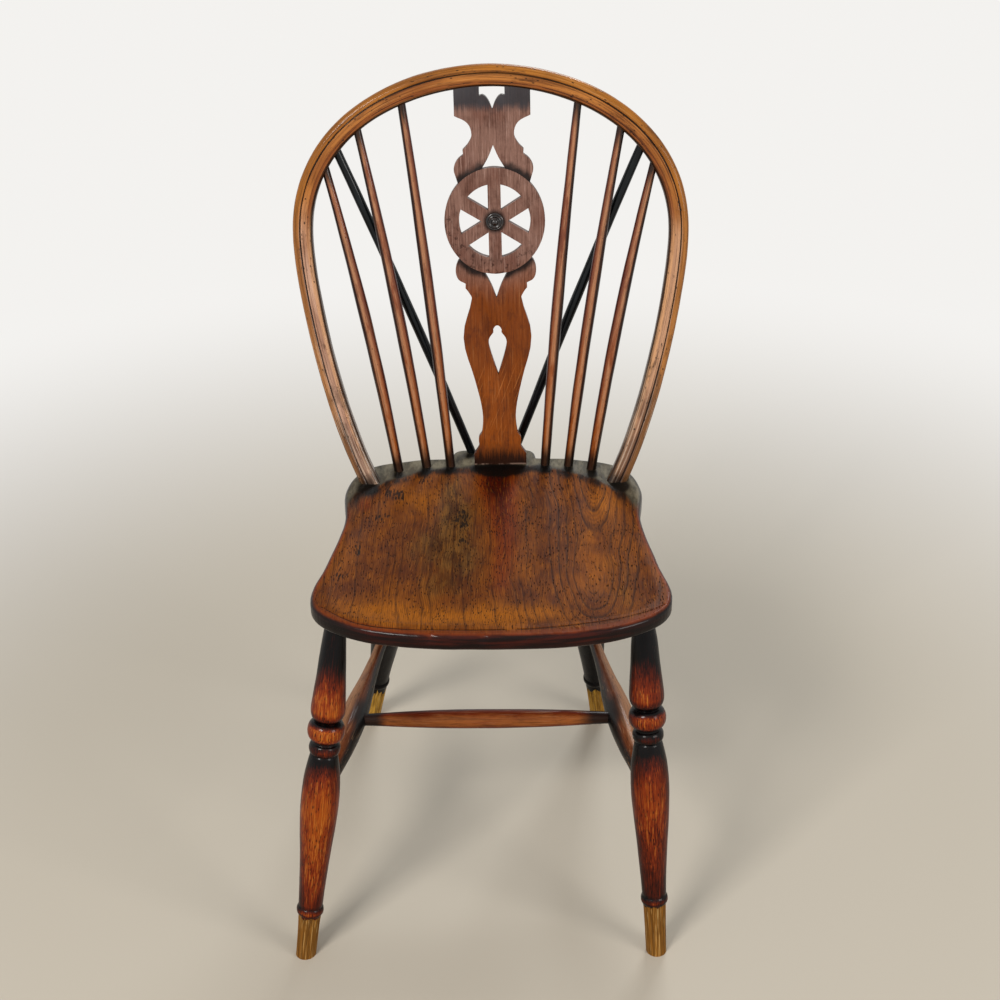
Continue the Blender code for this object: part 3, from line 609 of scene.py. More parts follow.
def seat_outline():
    left = [(-x, y, kind) for x, y, kind in reversed(SEAT_HALF_OUTLINE) if x > 0.0]
    line = flowing([*SEAT_HALF_OUTLINE, *left], 8, closed=True)
    return line + np.array([0.0, SEAT_FRONT])


seat_edge = seat_outline()
SEAT_HALF_WIDTH = seat_edge[:, 0].max()
SEAT_HALF_DEPTH = (seat_edge[:, 1].max() - SEAT_FRONT) / 2
SEAT_MIDDLE = (0.0, SEAT_FRONT + SEAT_HALF_DEPTH)
print("seat:", round(2 * SEAT_HALF_WIDTH, 4), "by", round(2 * SEAT_HALF_DEPTH, 4))

# %% Seat edge, ring by ring
# Each ring: how far below the top it lies and how far in from the full outline
EDGE_ROUND = 0.0042
EDGE_STEPS = 6
BAND = 0.0165
UNDERCUT = 0.0205
edge_rings = [
    (
        EDGE_ROUND * (1 - math.cos(math.pi / 2 * step / EDGE_STEPS)),
        EDGE_ROUND * (1 - math.sin(math.pi / 2 * step / EDGE_STEPS)),
    )
    for step in range(EDGE_STEPS + 1)
]
edge_rings += [
    (0.0100, 0.0000),
    (BAND - 0.0020, 0.0000),
    (BAND, 0.0008),
    (BAND + 0.0020, 0.0030),
    (SEAT_THICKNESS - 0.0015, UNDERCUT - 0.0014),
    (SEAT_THICKNESS, UNDERCUT + 0.0008),
]


def ring_scale(inset):
    return np.array([1 - inset / SEAT_HALF_WIDTH, 1 - inset / SEAT_HALF_DEPTH])


def make_seat():
    first = (seat_edge - SEAT_MIDDLE) * ring_scale(edge_rings[0][1]) + SEAT_MIDDLE
    bpy.ops.mesh.primitive_circle_add(vertices=len(first), radius=0.2, fill_type="NGON")
    seat = bpy.context.object
    seat.name = "elm_board"
    corners = np.column_stack([first, np.full(len(first), SEAT_TOP)])
    move_points(seat, corners)
    edit(seat)
    for (above, outer), (below, inner) in zip(edge_rings, edge_rings[1:]):
        scale = ring_scale(inner) / ring_scale(outer)
        drop = {"value": (0.0, 0.0, above - below)}
        bpy.ops.mesh.extrude_region_move(TRANSFORM_OT_translate=drop)
        bpy.ops.transform.resize(
            value=(scale[0], scale[1], 1.0), center_override=(*SEAT_MIDDLE, SEAT_TOP)
        )
    face_outward()
    done()
    return seat


seat = make_seat()
print("seat blank:", len(seat.data.vertices), "points")

# %% Cut the seat into a fine grid
GRID = 0.0030
FRONT_GRID = 0.0012
FRONT_ZONE = -0.170


def bisect_all(piece, place, normal):
    bpy.ops.mesh.select_all(action="SELECT")
    bpy.ops.mesh.bisect(plane_co=place, plane_no=normal)


def grid_lines():
    across = np.arange(-SEAT_HALF_WIDTH + GRID, SEAT_HALF_WIDTH, GRID)
    front = np.arange(SEAT_FRONT + FRONT_GRID, FRONT_ZONE, FRONT_GRID)
    rest = np.arange(FRONT_ZONE, SEAT_MIDDLE[1] + SEAT_HALF_DEPTH, GRID)
    return across, np.concatenate([front, rest])


edit(seat)
across_lines, along_lines = grid_lines()
for x in across_lines:
    bisect_all(seat, (x, 0.0, 0.0), (1.0, 0.0, 0.0))
for y in along_lines:
    bisect_all(seat, (0.0, y, 0.0), (0.0, 1.0, 0.0))
done()
print("seat grid:", len(seat.data.vertices), "points")

# %% [markdown]
# The dish is not a plain bowl. It runs out softly towards the front, and at the back it ends in a
# clear edge that follows the sticks. A line is scribed along the front, where the maker stopped
# the hollow. Each of these is a curve on the board, and a point's distance to the curve decides
# how far it goes down, and later how dark it is.

# %% Curves on the seat, and distances to them
DISH_EDGE = (
    (-0.1700, 0.0300, SMOOTH),
    (-0.1580, 0.0750, SMOOTH),
    (-0.1350, 0.0940, SMOOTH),
    (-0.1125, 0.1090, SMOOTH),
    (-0.0890, 0.1230, SMOOTH),
    (-0.0400, 0.1335, SMOOTH),
    (0.0100, 0.1370, SMOOTH),
    (0.0540, 0.1350, SMOOTH),
    (0.0920, 0.1225, SMOOTH),
    (0.1270, 0.0965, SMOOTH),
    (0.1560, 0.0600, SMOOTH),
    (0.1660, 0.0200, SMOOTH),
    (0.1640, -0.0500, SMOOTH),
    (0.1760, -0.1300, SMOOTH),
    (0.1700, -0.1700, SMOOTH),
    (0.1200, -0.1990, SMOOTH),
    (0.0000, -0.2120, SMOOTH),
    (-0.1150, -0.2040, SMOOTH),
    (-0.1680, -0.1740, SMOOTH),
    (-0.1760, -0.1300, SMOOTH),
    (-0.1640, -0.0500, SMOOTH),
)
SCRIBED_LINE = (
    (-0.1790, -0.1750, SMOOTH),
    (-0.1570, -0.1950, SMOOTH),
    (-0.1350, -0.2085, SMOOTH),
    (-0.1030, -0.2168, SMOOTH),
    (-0.0520, -0.2203, SMOOTH),
    (0.0100, -0.2207, SMOOTH),
    (0.0510, -0.2183, SMOOTH),
    (0.0920, -0.2110, SMOOTH),
    (0.1340, -0.2000, SMOOTH),
    (0.1660, -0.1860, SMOOTH),
    (0.1830, -0.1740, SMOOTH),
)


def distance_to(line, places, closed):
    """How far each place, seen from above, is from a line of points."""
    starts = line if closed else line[:-1]
    ends = np.roll(line, -1, axis=0) if closed else line[1:]
    nearest = np.full(len(places), 1.0)
    for start, end in zip(starts, ends):
        run = end - start
        share = np.clip(((places - start) @ run) / max(run @ run, 1e-12), 0.0, 1.0)
        gap = places - start - share[:, None] * run
        nearest = np.minimum(nearest, np.hypot(gap[:, 0], gap[:, 1]))
    return nearest


def inside(line, places):
    """Whether each place lies within a closed line, by counting the edges that it is left of."""
    crossings = np.zeros(len(places), dtype=int)
    for (ax, ay), (bx, by) in zip(line, np.roll(line, -1, axis=0)):
        if ay == by:
            continue
        between = (places[:, 1] < max(ay, by)) & (places[:, 1] >= min(ay, by))
        meets = ax + (places[:, 1] - ay) * (bx - ax) / (by - ay)
        crossings += between & (meets > places[:, 0])
    return crossings % 2 == 1


dish_line = flowing(DISH_EDGE, 6, closed=True)
scribed = flowing(SCRIBED_LINE, 6)


def seat_distances(places):
    """How far each place is into the dish, from the scribed line and from the outer edge."""
    flat = places[:, :2]
    to_dish = distance_to(dish_line, flat, True)
    into_dish = np.where(inside(dish_line, flat), to_dish, -to_dish)
    return into_dish, distance_to(scribed, flat, False), distance_to(seat_edge, flat, True)


points = places_of(seat)
into_dish, to_scribed, to_edge = seat_distances(points)
print("deepest place is", round(into_dish.max(), 4), "m inside the dish's edge")

# %% Hollow the dish, cut the line, wear the edge
DISH_DEPTH = 0.0066
DISH_RUN = 0.088
DISH_FULLNESS = 2.6
LINE_HALF = 0.0009
LINE_DEPTH = 0.0006
# How deep, how many waves a metre along x, y and z, and which noise
UNEVEN = ((0.00035, (14.0, 6.0, 0.0), 3), (0.00012, (60.0, 25.0, 0.0), 4))
# Nicks in the top: x, y, half width, half length, depth. Chips in the front edge: x, width, depth
NICKS = ((-0.121, -0.184, 0.0035, 0.0075, 0.0012), (0.141, -0.076, 0.0020, 0.0030, 0.0006))
CHIPS = ((-0.062, 0.0046, 0.0013), (-0.008, 0.0040, 0.0012), (0.0710, 0.0025, 0.0006))


def hollow_seat():
    top = points[:, 2] > SEAT_TOP - EDGE_ROUND - 0.0001
    run = np.clip(into_dish / DISH_RUN, 0.0, 1.0)
    depth = DISH_DEPTH * (1.0 - (1.0 - run) ** DISH_FULLNESS)
    depth += LINE_DEPTH * np.exp(-((to_scribed / LINE_HALF) ** 2))
    for amount, scale, seed in UNEVEN:
        depth += amount * waver(points, scale, seed)
    for x, y, wide, long, deep in NICKS:
        spot = ((points[:, 0] - x) / wide) ** 2 + ((points[:, 1] - y) / long) ** 2
        depth += deep * np.exp(-spot)
    moved = points.copy()
    moved[:, 2] -= np.where(top, depth, 0.0)
    near_front = (points[:, 1] < SEAT_FRONT + 0.03) & (points[:, 2] > SEAT_TOP - 0.009)
    for x, wide, deep in CHIPS:
        bite = deep * np.exp(-(((points[:, 0] - x) / wide) ** 2))
        rim = smooth_steps(-to_edge, -0.0045, -0.0005) * near_front
        moved[:, 1] += bite * rim
        moved[:, 2] -= 0.5 * bite * rim
    move_points(seat, moved)


hollow_seat()
by_hand(seat, 0.00025, (40.0, 40.0, 60.0), 9)
shade(seat, 40.0)
print("seat hollowed by", DISH_DEPTH)

# %% [markdown]
# The two ends of the hoop pass right through the board and are wedged from below. Their holes are
# drilled here with a Boolean, so that the wedged ends show under the seat.

# %% Where the back stands
BACK_FOOT = 0.104
BACK_LEAN = math.radians(12.0)


def leaning(lean, foot_y):
    """Placing for things drawn with x across and y up a plane that leans back from the seat."""
    tilt = Matrix.Rotation(math.radians(90.0) - lean, 4, "X")
    return Matrix.Translation((0.0, foot_y, SEAT_TOP)) @ tilt


BACK = leaning(BACK_LEAN, BACK_FOOT)
HOOP_FOOT = Vector((0.1485, 0.0, 0.0))
HOOP_FLARE = Vector((0.0400, 0.0878, 0.0))
HOOP_WIDEST = Vector((0.2152, 0.2948, 0.0))
HOOP_SIDE = Vector((0.0, 0.0615, 0.0))
HOOP_TOP = Vector((0.0, 0.4702, 0.0))
HOOP_SHOULDER = 0.67
HOOP_ARCH = 0.47
HOOP_IN_SEAT = SEAT_THICKNESS - 0.0015
HOOP_FACE = 0.0235
HOOP_DEPTH = 0.021
HOOP_ROUNDING = 0.0065
FOOT_SWELL = 0.94
TOP_SWELL = 1.06


def hoop_hole(side):
    """A rounded bar on the line of the hoop's foot, a hair larger than the hoop."""
    bpy.ops.mesh.primitive_cube_add(size=1.0)
    bar = bpy.context.object
    bar.name = "hole_bar"
    fit = 0.0006
    wide = HOOP_FACE * FOOT_SWELL + fit
    deep = HOOP_DEPTH * FOOT_SWELL + fit
    edit(bar)
    bpy.ops.transform.resize(value=(wide, deep, 0.050))
    bpy.ops.transform.translate(value=(0.0, 0.0, -0.020))
    done()
    rounding = bar.modifiers.new("rounding", "BEVEL")
    rounding.width = HOOP_ROUNDING
    rounding.segments = 4
    apply(bar, rounding)
    flare = Vector((HOOP_FLARE.x * side, HOOP_FLARE.y, 0.0))
    foot = Vector((HOOP_FOOT.x * side, 0.0, 0.0))
    up = flare.normalized()
    out = Vector((up.y, -up.x, 0.0))
    turn = Matrix((out, (0.0, 0.0, 1.0), up))
    put(bar, BACK @ Matrix.Translation(foot) @ turn.transposed().to_4x4())
    return bar


for side in (-1, 1):
    bar = hoop_hole(side)
    drill = seat.modifiers.new("drill", "BOOLEAN")
    drill.operation = "DIFFERENCE"
    drill.solver = "EXACT"
    drill.object = bar
    apply(seat, drill)
    bpy.data.objects.remove(bar, do_unlink=True)
points = places_of(seat)
print("seat drilled:", len(points), "points")

# %% [markdown]
# A board this old has a map of its own use. The finish goes black where a duster never reaches:
# in front of the sticks, round the hoop's feet and under the splat. What the map needs is painted
# on the mesh: how far a point is into the dish, from the scribed line and from the outer edge,
# and how deep it lies in each kind of stain. A table of soft ovals gives every stain its place
# and strength.

# %% Paint the seat's map
STICK_FEET = (
    (-0.1149, 0.0258),
    (-0.0818, 0.0357),
    (-0.0525, 0.0372),
    (0.0627, 0.0392),
    (0.0909, 0.0360),
    (0.1185, 0.0273),
)
# Each stain: x, y, half width, half length, strength
DIRT = [(x, BACK_FOOT + behind - 0.010, 0.0080, 0.013, 1.0) for x, behind in STICK_FEET]
DIRT += [(side * 0.1490, BACK_FOOT - 0.018, 0.0135, 0.016, 1.3) for side in (-1, 1)]
DIRT += [(0.0083, 0.1330, 0.0310, 0.0105, 1.7), (0.0083, 0.125, 0.0230, 0.012, 0.7)]
DIRT += [(-0.0275, 0.166, 0.012, 0.010, 0.8), (0.0250, 0.166, 0.012, 0.010, 0.8)]
DIRT += [(-0.0950, 0.112, 0.0300, 0.0060, 0.35), (0.1000, 0.112, 0.0300, 0.0060, 0.35)]
GREY = (
    (-0.050, 0.085, 0.016, 0.040, 0.75),
    (-0.042, 0.020, 0.024, 0.050, 0.95),
    (-0.066, -0.045, 0.032, 0.050, 0.85),
    (-0.030, -0.070, 0.022, 0.050, 0.75),
    (-0.052, -0.125, 0.026, 0.030, 0.60),
    (0.145, -0.130, 0.022, 0.050, 0.40),
)
RED = (
    (0.004, 0.108, 0.021, 0.036, 1.30),
    (0.009, 0.045, 0.020, 0.050, 0.85),
    (0.015, -0.035, 0.017, 0.050, 0.60),
    (0.010, -0.110, 0.016, 0.045, 0.50),
    (-0.150, 0.050, 0.010, 0.020, 0.60),
)
GOLD = (
    (-0.115, -0.180, 0.050, 0.026, 1.00),
    (-0.055, -0.196, 0.045, 0.018, 0.85),
    (0.010, -0.186, 0.040, 0.030, 0.80),
    (0.060, -0.180, 0.030, 0.024, 0.50),
    (0.128, 0.045, 0.020, 0.045, 0.65),
    (-0.085, 0.060, 0.026, 0.036, 0.70),
    (0.105, -0.020, 0.012, 0.030, 0.40),
    (0.112, -0.125, 0.012, 0.045, 0.40),
)
SPECKLED = (
    (-0.036, 0.022, 0.011, 0.028, 1.20),
    (-0.030, -0.034, 0.011, 0.018, 0.90),
    (-0.127, 0.020, 0.011, 0.018, 1.10),
    (-0.166, -0.115, 0.009, 0.020, 1.20),
    (-0.150, -0.050, 0.004, 0.022, 1.30),
    (-0.118, 0.078, 0.018, 0.020, 1.15),
    (-0.083, 0.106, 0.020, 0.012, 1.05),
    (-0.066, 0.040, 0.007, 0.014, 0.50),
    (-0.100, -0.030, 0.040, 0.060, 0.30),
)


def stains(places, table):
    """How deep each place lies in soft stains that overlap and add up."""
    total = np.zeros(len(places))
    for x, y, wide, long, much in table:
        away = ((places[:, 0] - x) / wide) ** 2 + ((places[:, 1] - y) / long) ** 2
        total += much * np.exp(-away)
    return np.clip(total, 0.0, 1.5)


for name, distances in zip(("into_dish", "to_scribed", "to_edge"), seat_distances(points)):
    paint(seat, name, distances)
kinds = {"dirt": DIRT, "grey": GREY, "red": RED, "gold": GOLD, "speckled": SPECKLED}
for name, table in kinds.items():
    paint(seat, name, stains(points, table))
print("seat map painted at", len(points), "points")

# %% [markdown]
# Elm has wild grain. Sawn through, its yearly rings show as long lines that bend into nested U
# shapes near the middle of the tree, here on the right of the board. That figure is one field,
# made of the distances from two places that the rings close round: a bowl at the back and a long
# loop in front of it. Each ring is a wave of the field, dark in its late wood. Inside the loop
# and at its mouth the real board is plain, so the rings are faded out there.

# %% Elm's figure
# Each place that rings close round: x, y, half width, half length
BOWL = (0.118, 0.120, 0.0270, 0.135)
LOOP = (0.113, -0.108, 0.0145, 0.052)
RINGS = 3.76
FIRST_RING = 0.29


def from_oval(across, along_board, oval):
    """0 in the middle of an oval, 1 on its line, and growing with the square of the distance."""
    x, y, wide, long = oval
    sideways, lengthways = (across - x) / wide, (along_board - y) / long
    return sideways * sideways + lengthways * lengthways


def elm_figure(wood, place, blotch, smear):
    """The late wood of each ring, the fine lines between, and the places to draw grain at."""
    x, y, z = wood.parts(place)
    drift = wood.cloud(place, (8.0, 6.0, 1.0), 2.0) - 0.5
    ripple = wood.cloud(place, (46.0, 13.0, 1.0), 2.0) - 0.5
    along_board = y + drift * 0.030
    across = x + drift * 0.024 + ripple * 0.0036
    bowl = from_oval(across, along_board, BOWL)
    loop = from_oval(across, along_board, LOOP)
    field = (bowl * loop / (bowl + loop)) ** 0.5
    phase = field * RINGS + FIRST_RING + ripple * 0.5
    wave = phase.fraction()
    late = wave.between(0.16, 0.52) * wave.fading(0.52, 0.62)
    in_loop = loop.fading(0.8, 1.6) * along_board.between(-0.150, -0.115)
    mouth = along_board.between(-0.100, -0.060) * along_board.fading(-0.020, 0.005)
    mouth = mouth * abs(across - LOOP[0]).fading(0.008, 0.018)
    in_loop = (in_loop + mouth).at_most(1.0)
    late = late * (1.0 - in_loop * 0.95)
    near_loops = field.fading(1.3, 2.4)
    uneven = wood.cloud(wood.vector(phase * 0.55, y * 4.0), (1.0, 1.0, 1.0), 1.0)
    late = late * (near_loops * 0.65 + uneven.between(0.40, 0.62) * 0.75).at_most(1.0)
    fine = (phase * 4.3 + smear * 1.6).fraction()
    fine = fine.between(0.25, 0.8) * fine.fading(0.85, 1.0) * blotch.between(0.35, 0.6)
    fine = fine * (1.0 - in_loop * 0.90)
    return late, fine, wood.vector(across, y, z)


print("elm: rings close round", BOWL[:2], "and", LOOP[:2])

# %% [markdown]
# Over the wood lie the colours of the finish: a grey worn patch left of the middle, a red streak
# beside it, and gold along the front. Elm's pores are short dark dashes along the board. They are
# cells of a Voronoi texture, which are drawn out by squeezing the places they are read at, and a
# second, larger kind stands closer together where the board is speckled.

# %% Elm's colours
def elm_colours(wood, place, blotch, smear):
    """The board's colour under its borders, and the masks that its roughness and relief need."""
    late, fine, drawn = elm_figure(wood, place, blotch, smear)
    pores = wood.dots(drawn, (470.0, 105.0, 300.0), 0.20, 0.30)
    pores = pores * wood.cloud(place, (60.0, 26.0, 20.0), 3.0, 0.6).between(0.36, 0.54)
    threads = wood.cloud(drawn, (820.0, 40.0, 400.0), 3.0, 0.65)

    edge_noise = (blotch - 0.5) * 0.9 + (smear - 0.5) * 0.5
    colour = wood.mix(blotch.between(0.36, 0.64), tone(86, 40, 8), tone(128, 68, 14))
    gold = (wood.painted("gold") + edge_noise * 1.1).between(-0.05, 1.15)
    colour = wood.mix(gold * 0.85, colour, tone(174, 100, 12))
    grey = (wood.painted("grey") + edge_noise * 1.2).between(0.10, 1.05)
    grey_tone = wood.mix(smear.between(0.38, 0.62), tone(52, 34, 14), tone(112, 80, 38))
    colour = wood.mix(grey * 0.74, colour, grey_tone)
    red = wood.painted("red") + edge_noise * 0.6
    colour = wood.mix(red.between(0.10, 0.85) * 0.80, colour, tone(116, 38, 4))
    colour = wood.mix(red.between(0.60, 1.20) * 0.92, colour, tone(54, 2, 1))

    colour = wood.mix(late * 0.74, colour, tone(36, 14, 5))
    colour = wood.mix(fine * 0.36, colour, tone(46, 20, 6))
    colour = wood.mix(threads.between(0.51, 0.66) * 0.60, colour, tone(34, 14, 6))
    colour = wood.mix(threads.fading(0.30, 0.46) * 0.24, colour, tone(200, 124, 36))
    colour = wood.mix(pores * 0.88, colour, tone(14, 7, 4))
    speckled = (wood.painted("speckled") + edge_noise * 0.9).between(0.20, 1.10)
    size = speckled * 0.42 + smear.between(0.46, 0.60) * 0.14
    black = wood.dots(drawn, (400.0, 92.0, 300.0), size - 0.06, size + 0.06)
    colour = wood.mix(black * 0.86, colour, tone(12, 8, 6))
    cloudy = speckled * smear.between(0.50, 0.66)
    colour = wood.mix(cloudy * 0.45, colour, tone(24, 16, 8))
    return colour, {"late": late, "pores": pores, "grey": grey, "black": black}


print("elm: stains", list(kinds))

# %% [markdown]
# The board's borders have aged in their own ways. The scribed line has filled with dirt. The flat
# land behind the dish is dull and greyish, its pale grey partly a painted reflection of the white
# backdrop and paler on the tail, with a dark fringe along the dish's edge. The outer edge is
# nearly black, with a red arris where it has rubbed.

# %% Elm's borders
def elm_borders(wood, place, blotch, smear, colour):
    """The colour with the scribed line, the land and the edge laid over it, and their masks."""
    x, y, z = wood.parts(place)
    to_scribed = wood.painted("to_scribed")
    to_edge = wood.painted("to_edge")
    into_dish = wood.painted("into_dish")
    strip = to_edge.fading(0.009, 0.0125) * y.fading(-0.19, -0.165)
    colour = wood.mix(strip * 0.60, colour, tone(112, 48, 16))
    broken = wood.cloud(place, (90.0, 90.0, 1.0), 2.0).between(0.30, 0.42)
    line = to_scribed.fading(0.0004, 0.0012) * broken
    colour = wood.mix(line * 0.90, colour, tone(20, 6, 3))

    land_edge = into_dish + (smear - 0.5) * 0.012 + (blotch - 0.5) * 0.006
    land = land_edge.fading(-0.0040, 0.0030) * y.between(0.005, 0.050)
    # The land's pale grey green is partly dull finish and partly a painted reflection of the
    # white backdrop
    land_tone_and_sheen = wood.mix(smear.between(0.36, 0.64), tone(64, 60, 46), tone(120, 113, 93))
    land_tone_and_sheen = wood.mix(y.between(0.155, 0.170) * 0.40, land_tone_and_sheen, tone(140, 134, 114))
    colour = wood.mix(land * 0.94, colour, land_tone_and_sheen)
    fringe = abs(land_edge - 0.0030).fading(0.0020, 0.0120) * y.between(0.020, 0.060)
    colour = wood.mix(fringe * smear.between(0.32, 0.56) * 0.90, colour, tone(14, 8, 5))

    wall = to_edge.fading(0.0016, 0.0050)
    corner = abs(x).between(0.115, 0.165)
    rubs = wood.cloud(place, (16.0, 30.0, 210.0), 4.0, 0.6)
    wall_tone = wood.mix(rubs.between(0.40, 0.66), tone(20, 3, 2), tone(60, 16, 7))
    wall_tone = wood.mix(corner * 0.80, wall_tone, tone(12, 6, 4))
    low = z.fading(SEAT_TOP - 0.016, SEAT_TOP - 0.008)
    wall_tone = wood.mix(low * 0.70, wall_tone, tone(14, 6, 5))
    wall_tone = wood.mix(land * 0.85, wall_tone, tone(40, 34, 26))
    colour = wood.mix(wall * (1.0 - land * 0.15), colour, wall_tone)
    arris = abs(to_edge - 0.0038).fading(0.0008, 0.0030) * blotch.between(0.34, 0.55)
    colour = wood.mix(arris * (1.0 - land) * 0.45, colour, tone(132, 54, 20))
    return colour, {"line": line, "land": land, "wall": wall}


print("elm: borders ready")

# %% [markdown]
# Last come the soot round everything that stands in the board, and the bare wood underneath. The
# masks then say where the board is dull, where it has kept a little gloss, and what lies in
# relief.

# %% Elm finish
def elm_finish():
    wood = Finish("aged_elm", specular=0.05, coat_roughness=0.12)
    place = wood.place()
    blotch = wood.cloud(place, (26.0, 13.0, 8.0), 4.0, 0.6)
    smear = wood.cloud(place, (75.0, 26.0, 20.0), 4.0, 0.65)
    colour, inner = elm_colours(wood, place, blotch, smear)
    colour, border = elm_borders(wood, place, blotch, smear, colour)
    late, pores, grey, black = (inner[name] for name in ("late", "pores", "grey", "black"))
    line, land, wall = (border[name] for name in ("line", "land", "wall"))

    soot = (wood.painted("dirt") + (smear - 0.5) * 1.3).between(0.14, 0.80)
    colour = wood.mix(soot * 0.97, colour, tone(8, 6, 5))

    _, _, z = wood.parts(place)
    under = z.fading(SEAT_TOP - 0.022, SEAT_TOP - 0.016)
    bare_grain = wood.cloud(place, (260.0, 12.0, 200.0), 4.0, 0.6)
    under_tone = wood.mix(bare_grain.between(0.35, 0.7), tone(96, 68, 44), tone(54, 36, 22))
    under_tone = wood.mix(pores * 0.7, under_tone, tone(28, 18, 12))
    colour = wood.mix(under * 0.92, colour, under_tone)

    rough = 0.34 + blotch * 0.16 + pores * 0.2 + grey * 0.10 + under * 0.25 - wall * 0.08
    wood.set(base_color=colour, roughness=rough)
    wood.set(coat_weight=(land * 0.16 + wall * 0.24 + soot * 0.1).at_most(0.5) * (1.0 - under))
    dents = wood.cloud(place, (55.0, 35.0, 55.0), 3.0)
    cut = pores * 0.40 + late * 0.08 + line * 0.4 + black * 0.25
    wood.relief(0.55 + dents * 0.35 + smear * 0.15 - cut, 0.0006)
    return wood.material


hand_in(seat, "elm_seat", elm_finish(), "seat")

# %% [markdown]
# ## The hoop
#
# The hoop is one straight-grained rod, steamed and bent, with a rounded section, a groove along
# its face, and a finer line beside the groove over the arch. Extruding a section along a curve
# would twist the grain with it, so the rod is made straight, grooved, cut fine along its length,
# and then bent, a little thicker at the top than at its feet.

# %% Hoop as a straight rod
GROOVE = -0.0026
GROOVE_WIDTH = 0.0016
GROOVE_DEPTH = 0.0012
FINE_LINE = 0.0068
FINE_LINE_DEPTH = 0.0004
FINE_LINE_HALF = 0.0008
FINE_LINE_BEGINS = (0.38, 0.46)
ROUND_STEPS = 7


def hoop_path():
    """The hoop's middle line from the right foot over the top to the left, as Bezier points."""
    flare = HOOP_FLARE
    into_seat = -flare.normalized() * HOOP_IN_SEAT
    rising = Vector((0.0, (HOOP_TOP.y - HOOP_WIDEST.y) * HOOP_SHOULDER, 0.0))
    arching = Vector((HOOP_WIDEST.x * HOOP_ARCH, 0.0, 0.0))
    end = HOOP_FOOT + into_seat
    half = [
        (end, end, straight_between(end, HOOP_FOOT)),
        (HOOP_FOOT, straight_between(HOOP_FOOT, end), HOOP_FOOT + flare),
        (HOOP_WIDEST, HOOP_WIDEST - HOOP_SIDE, HOOP_WIDEST + rising),
        (HOOP_TOP, HOOP_TOP + arching, HOOP_TOP - arching),
    ]

    def across(place):
        return Vector((-place.x, place.y, place.z))

    other = [tuple(map(across, (p, after, before))) for p, before, after in reversed(half[:-1])]
    return half + other


def length_of(path):
    total = 0.0
    for (start, _, leave), (end, arrive, _) in zip(path, path[1:]):
        run = interpolate_bezier(start, leave, arrive, end, 65)
        total += sum((b - a).length for a, b in zip(run, run[1:]))
    return total


def straight_hoop(length):
    bpy.ops.mesh.primitive_plane_add(size=1.0)
    rod = bpy.context.object
    rod.name = "bent_hoop"
    edit(rod)
    bpy.ops.transform.resize(value=(HOOP_FACE, HOOP_DEPTH, 1.0))
    bpy.ops.mesh.bevel(offset=HOOP_ROUNDING, segments=ROUND_STEPS, affect="VERTICES")
    for x in np.arange(-HOOP_FACE / 2 + HOOP_ROUNDING, HOOP_FACE / 2 - HOOP_ROUNDING, 0.0012):
        bisect_all(rod, (x, 0, 0), (1, 0, 0))
    for x in (GROOVE - GROOVE_WIDTH / 2, GROOVE, GROOVE + GROOVE_WIDTH / 2, FINE_LINE):
        bisect_all(rod, (x, 0, 0), (1, 0, 0))
    done()
    section = places_of(rod)
    front = section[:, 1] > HOOP_DEPTH / 2 - 0.0025
    cut_in = GROOVE_DEPTH * np.exp(-(((section[:, 0] - GROOVE) / (GROOVE_WIDTH / 2)) ** 4))
    section[:, 1] -= np.where(front, cut_in, 0.0)
    move_points(rod, section)
    edit(rod)
    bpy.ops.mesh.extrude_region_move(TRANSFORM_OT_translate={"value": (0.0, 0.0, length)})
    face_outward()
    done()
    return rod


path = hoop_path()
hoop_length = length_of(path)
hoop = straight_hoop(hoop_length)
print("hoop:", round(hoop_length, 4), "m long,", len(hoop.data.vertices), "points in all")

# %% Cut along its length, shape by hand, and bend
FIRST_CUTS = 24
SECOND_CUTS = 19


def cut_along(piece, cuts):
    """Divide every edge that runs along Z into equal lengths."""
    edit(piece)
    bpy.ops.mesh.select_mode(type="EDGE")
    bpy.ops.mesh.select_all(action="DESELECT")
    done()
    places = places_of(piece)
    for line in piece.data.edges:
        a, b = line.vertices
        line.select = abs(places[a][2] - places[b][2]) > 1e-4
    bpy.ops.object.mode_set(mode="EDIT")
    bpy.ops.mesh.subdivide(number_cuts=cuts)
    done()


cut_along(hoop, FIRST_CUTS)
cut_along(hoop, SECOND_CUTS)
paint(hoop, "grain", places_of(hoop))
hoop_rows = places_of(hoop)
from_end = np.minimum(hoop_rows[:, 2], hoop_length - hoop_rows[:, 2])
near_top = smooth_steps(from_end, *FINE_LINE_BEGINS)
front_face = hoop_rows[:, 1] > HOOP_DEPTH / 2 - 0.003
off_line = (hoop_rows[:, 0] - FINE_LINE) / FINE_LINE_HALF
fine_cut = FINE_LINE_DEPTH * np.exp(-(off_line**2)) * near_top
hoop_rows[:, 1] -= fine_cut * front_face
move_points(hoop, hoop_rows)
by_hand(hoop, 0.00045, (70.0, 70.0, 16.0), 21)
by_hand(hoop, 0.00015, (160.0, 160.0, 60.0), 22)


def swell(place):
    rise = max(place.y, 0.0) / HOOP_TOP.y
    return FOOT_SWELL + (TOP_SWELL - FOOT_SWELL) * rise**3


bent(hoop, path, [swell(place) for place, _, _ in path])
put(hoop, BACK)
shade(hoop, 50.0)
print("hoop bent:", [round(v, 3) for v in hoop.dimensions], "m box")
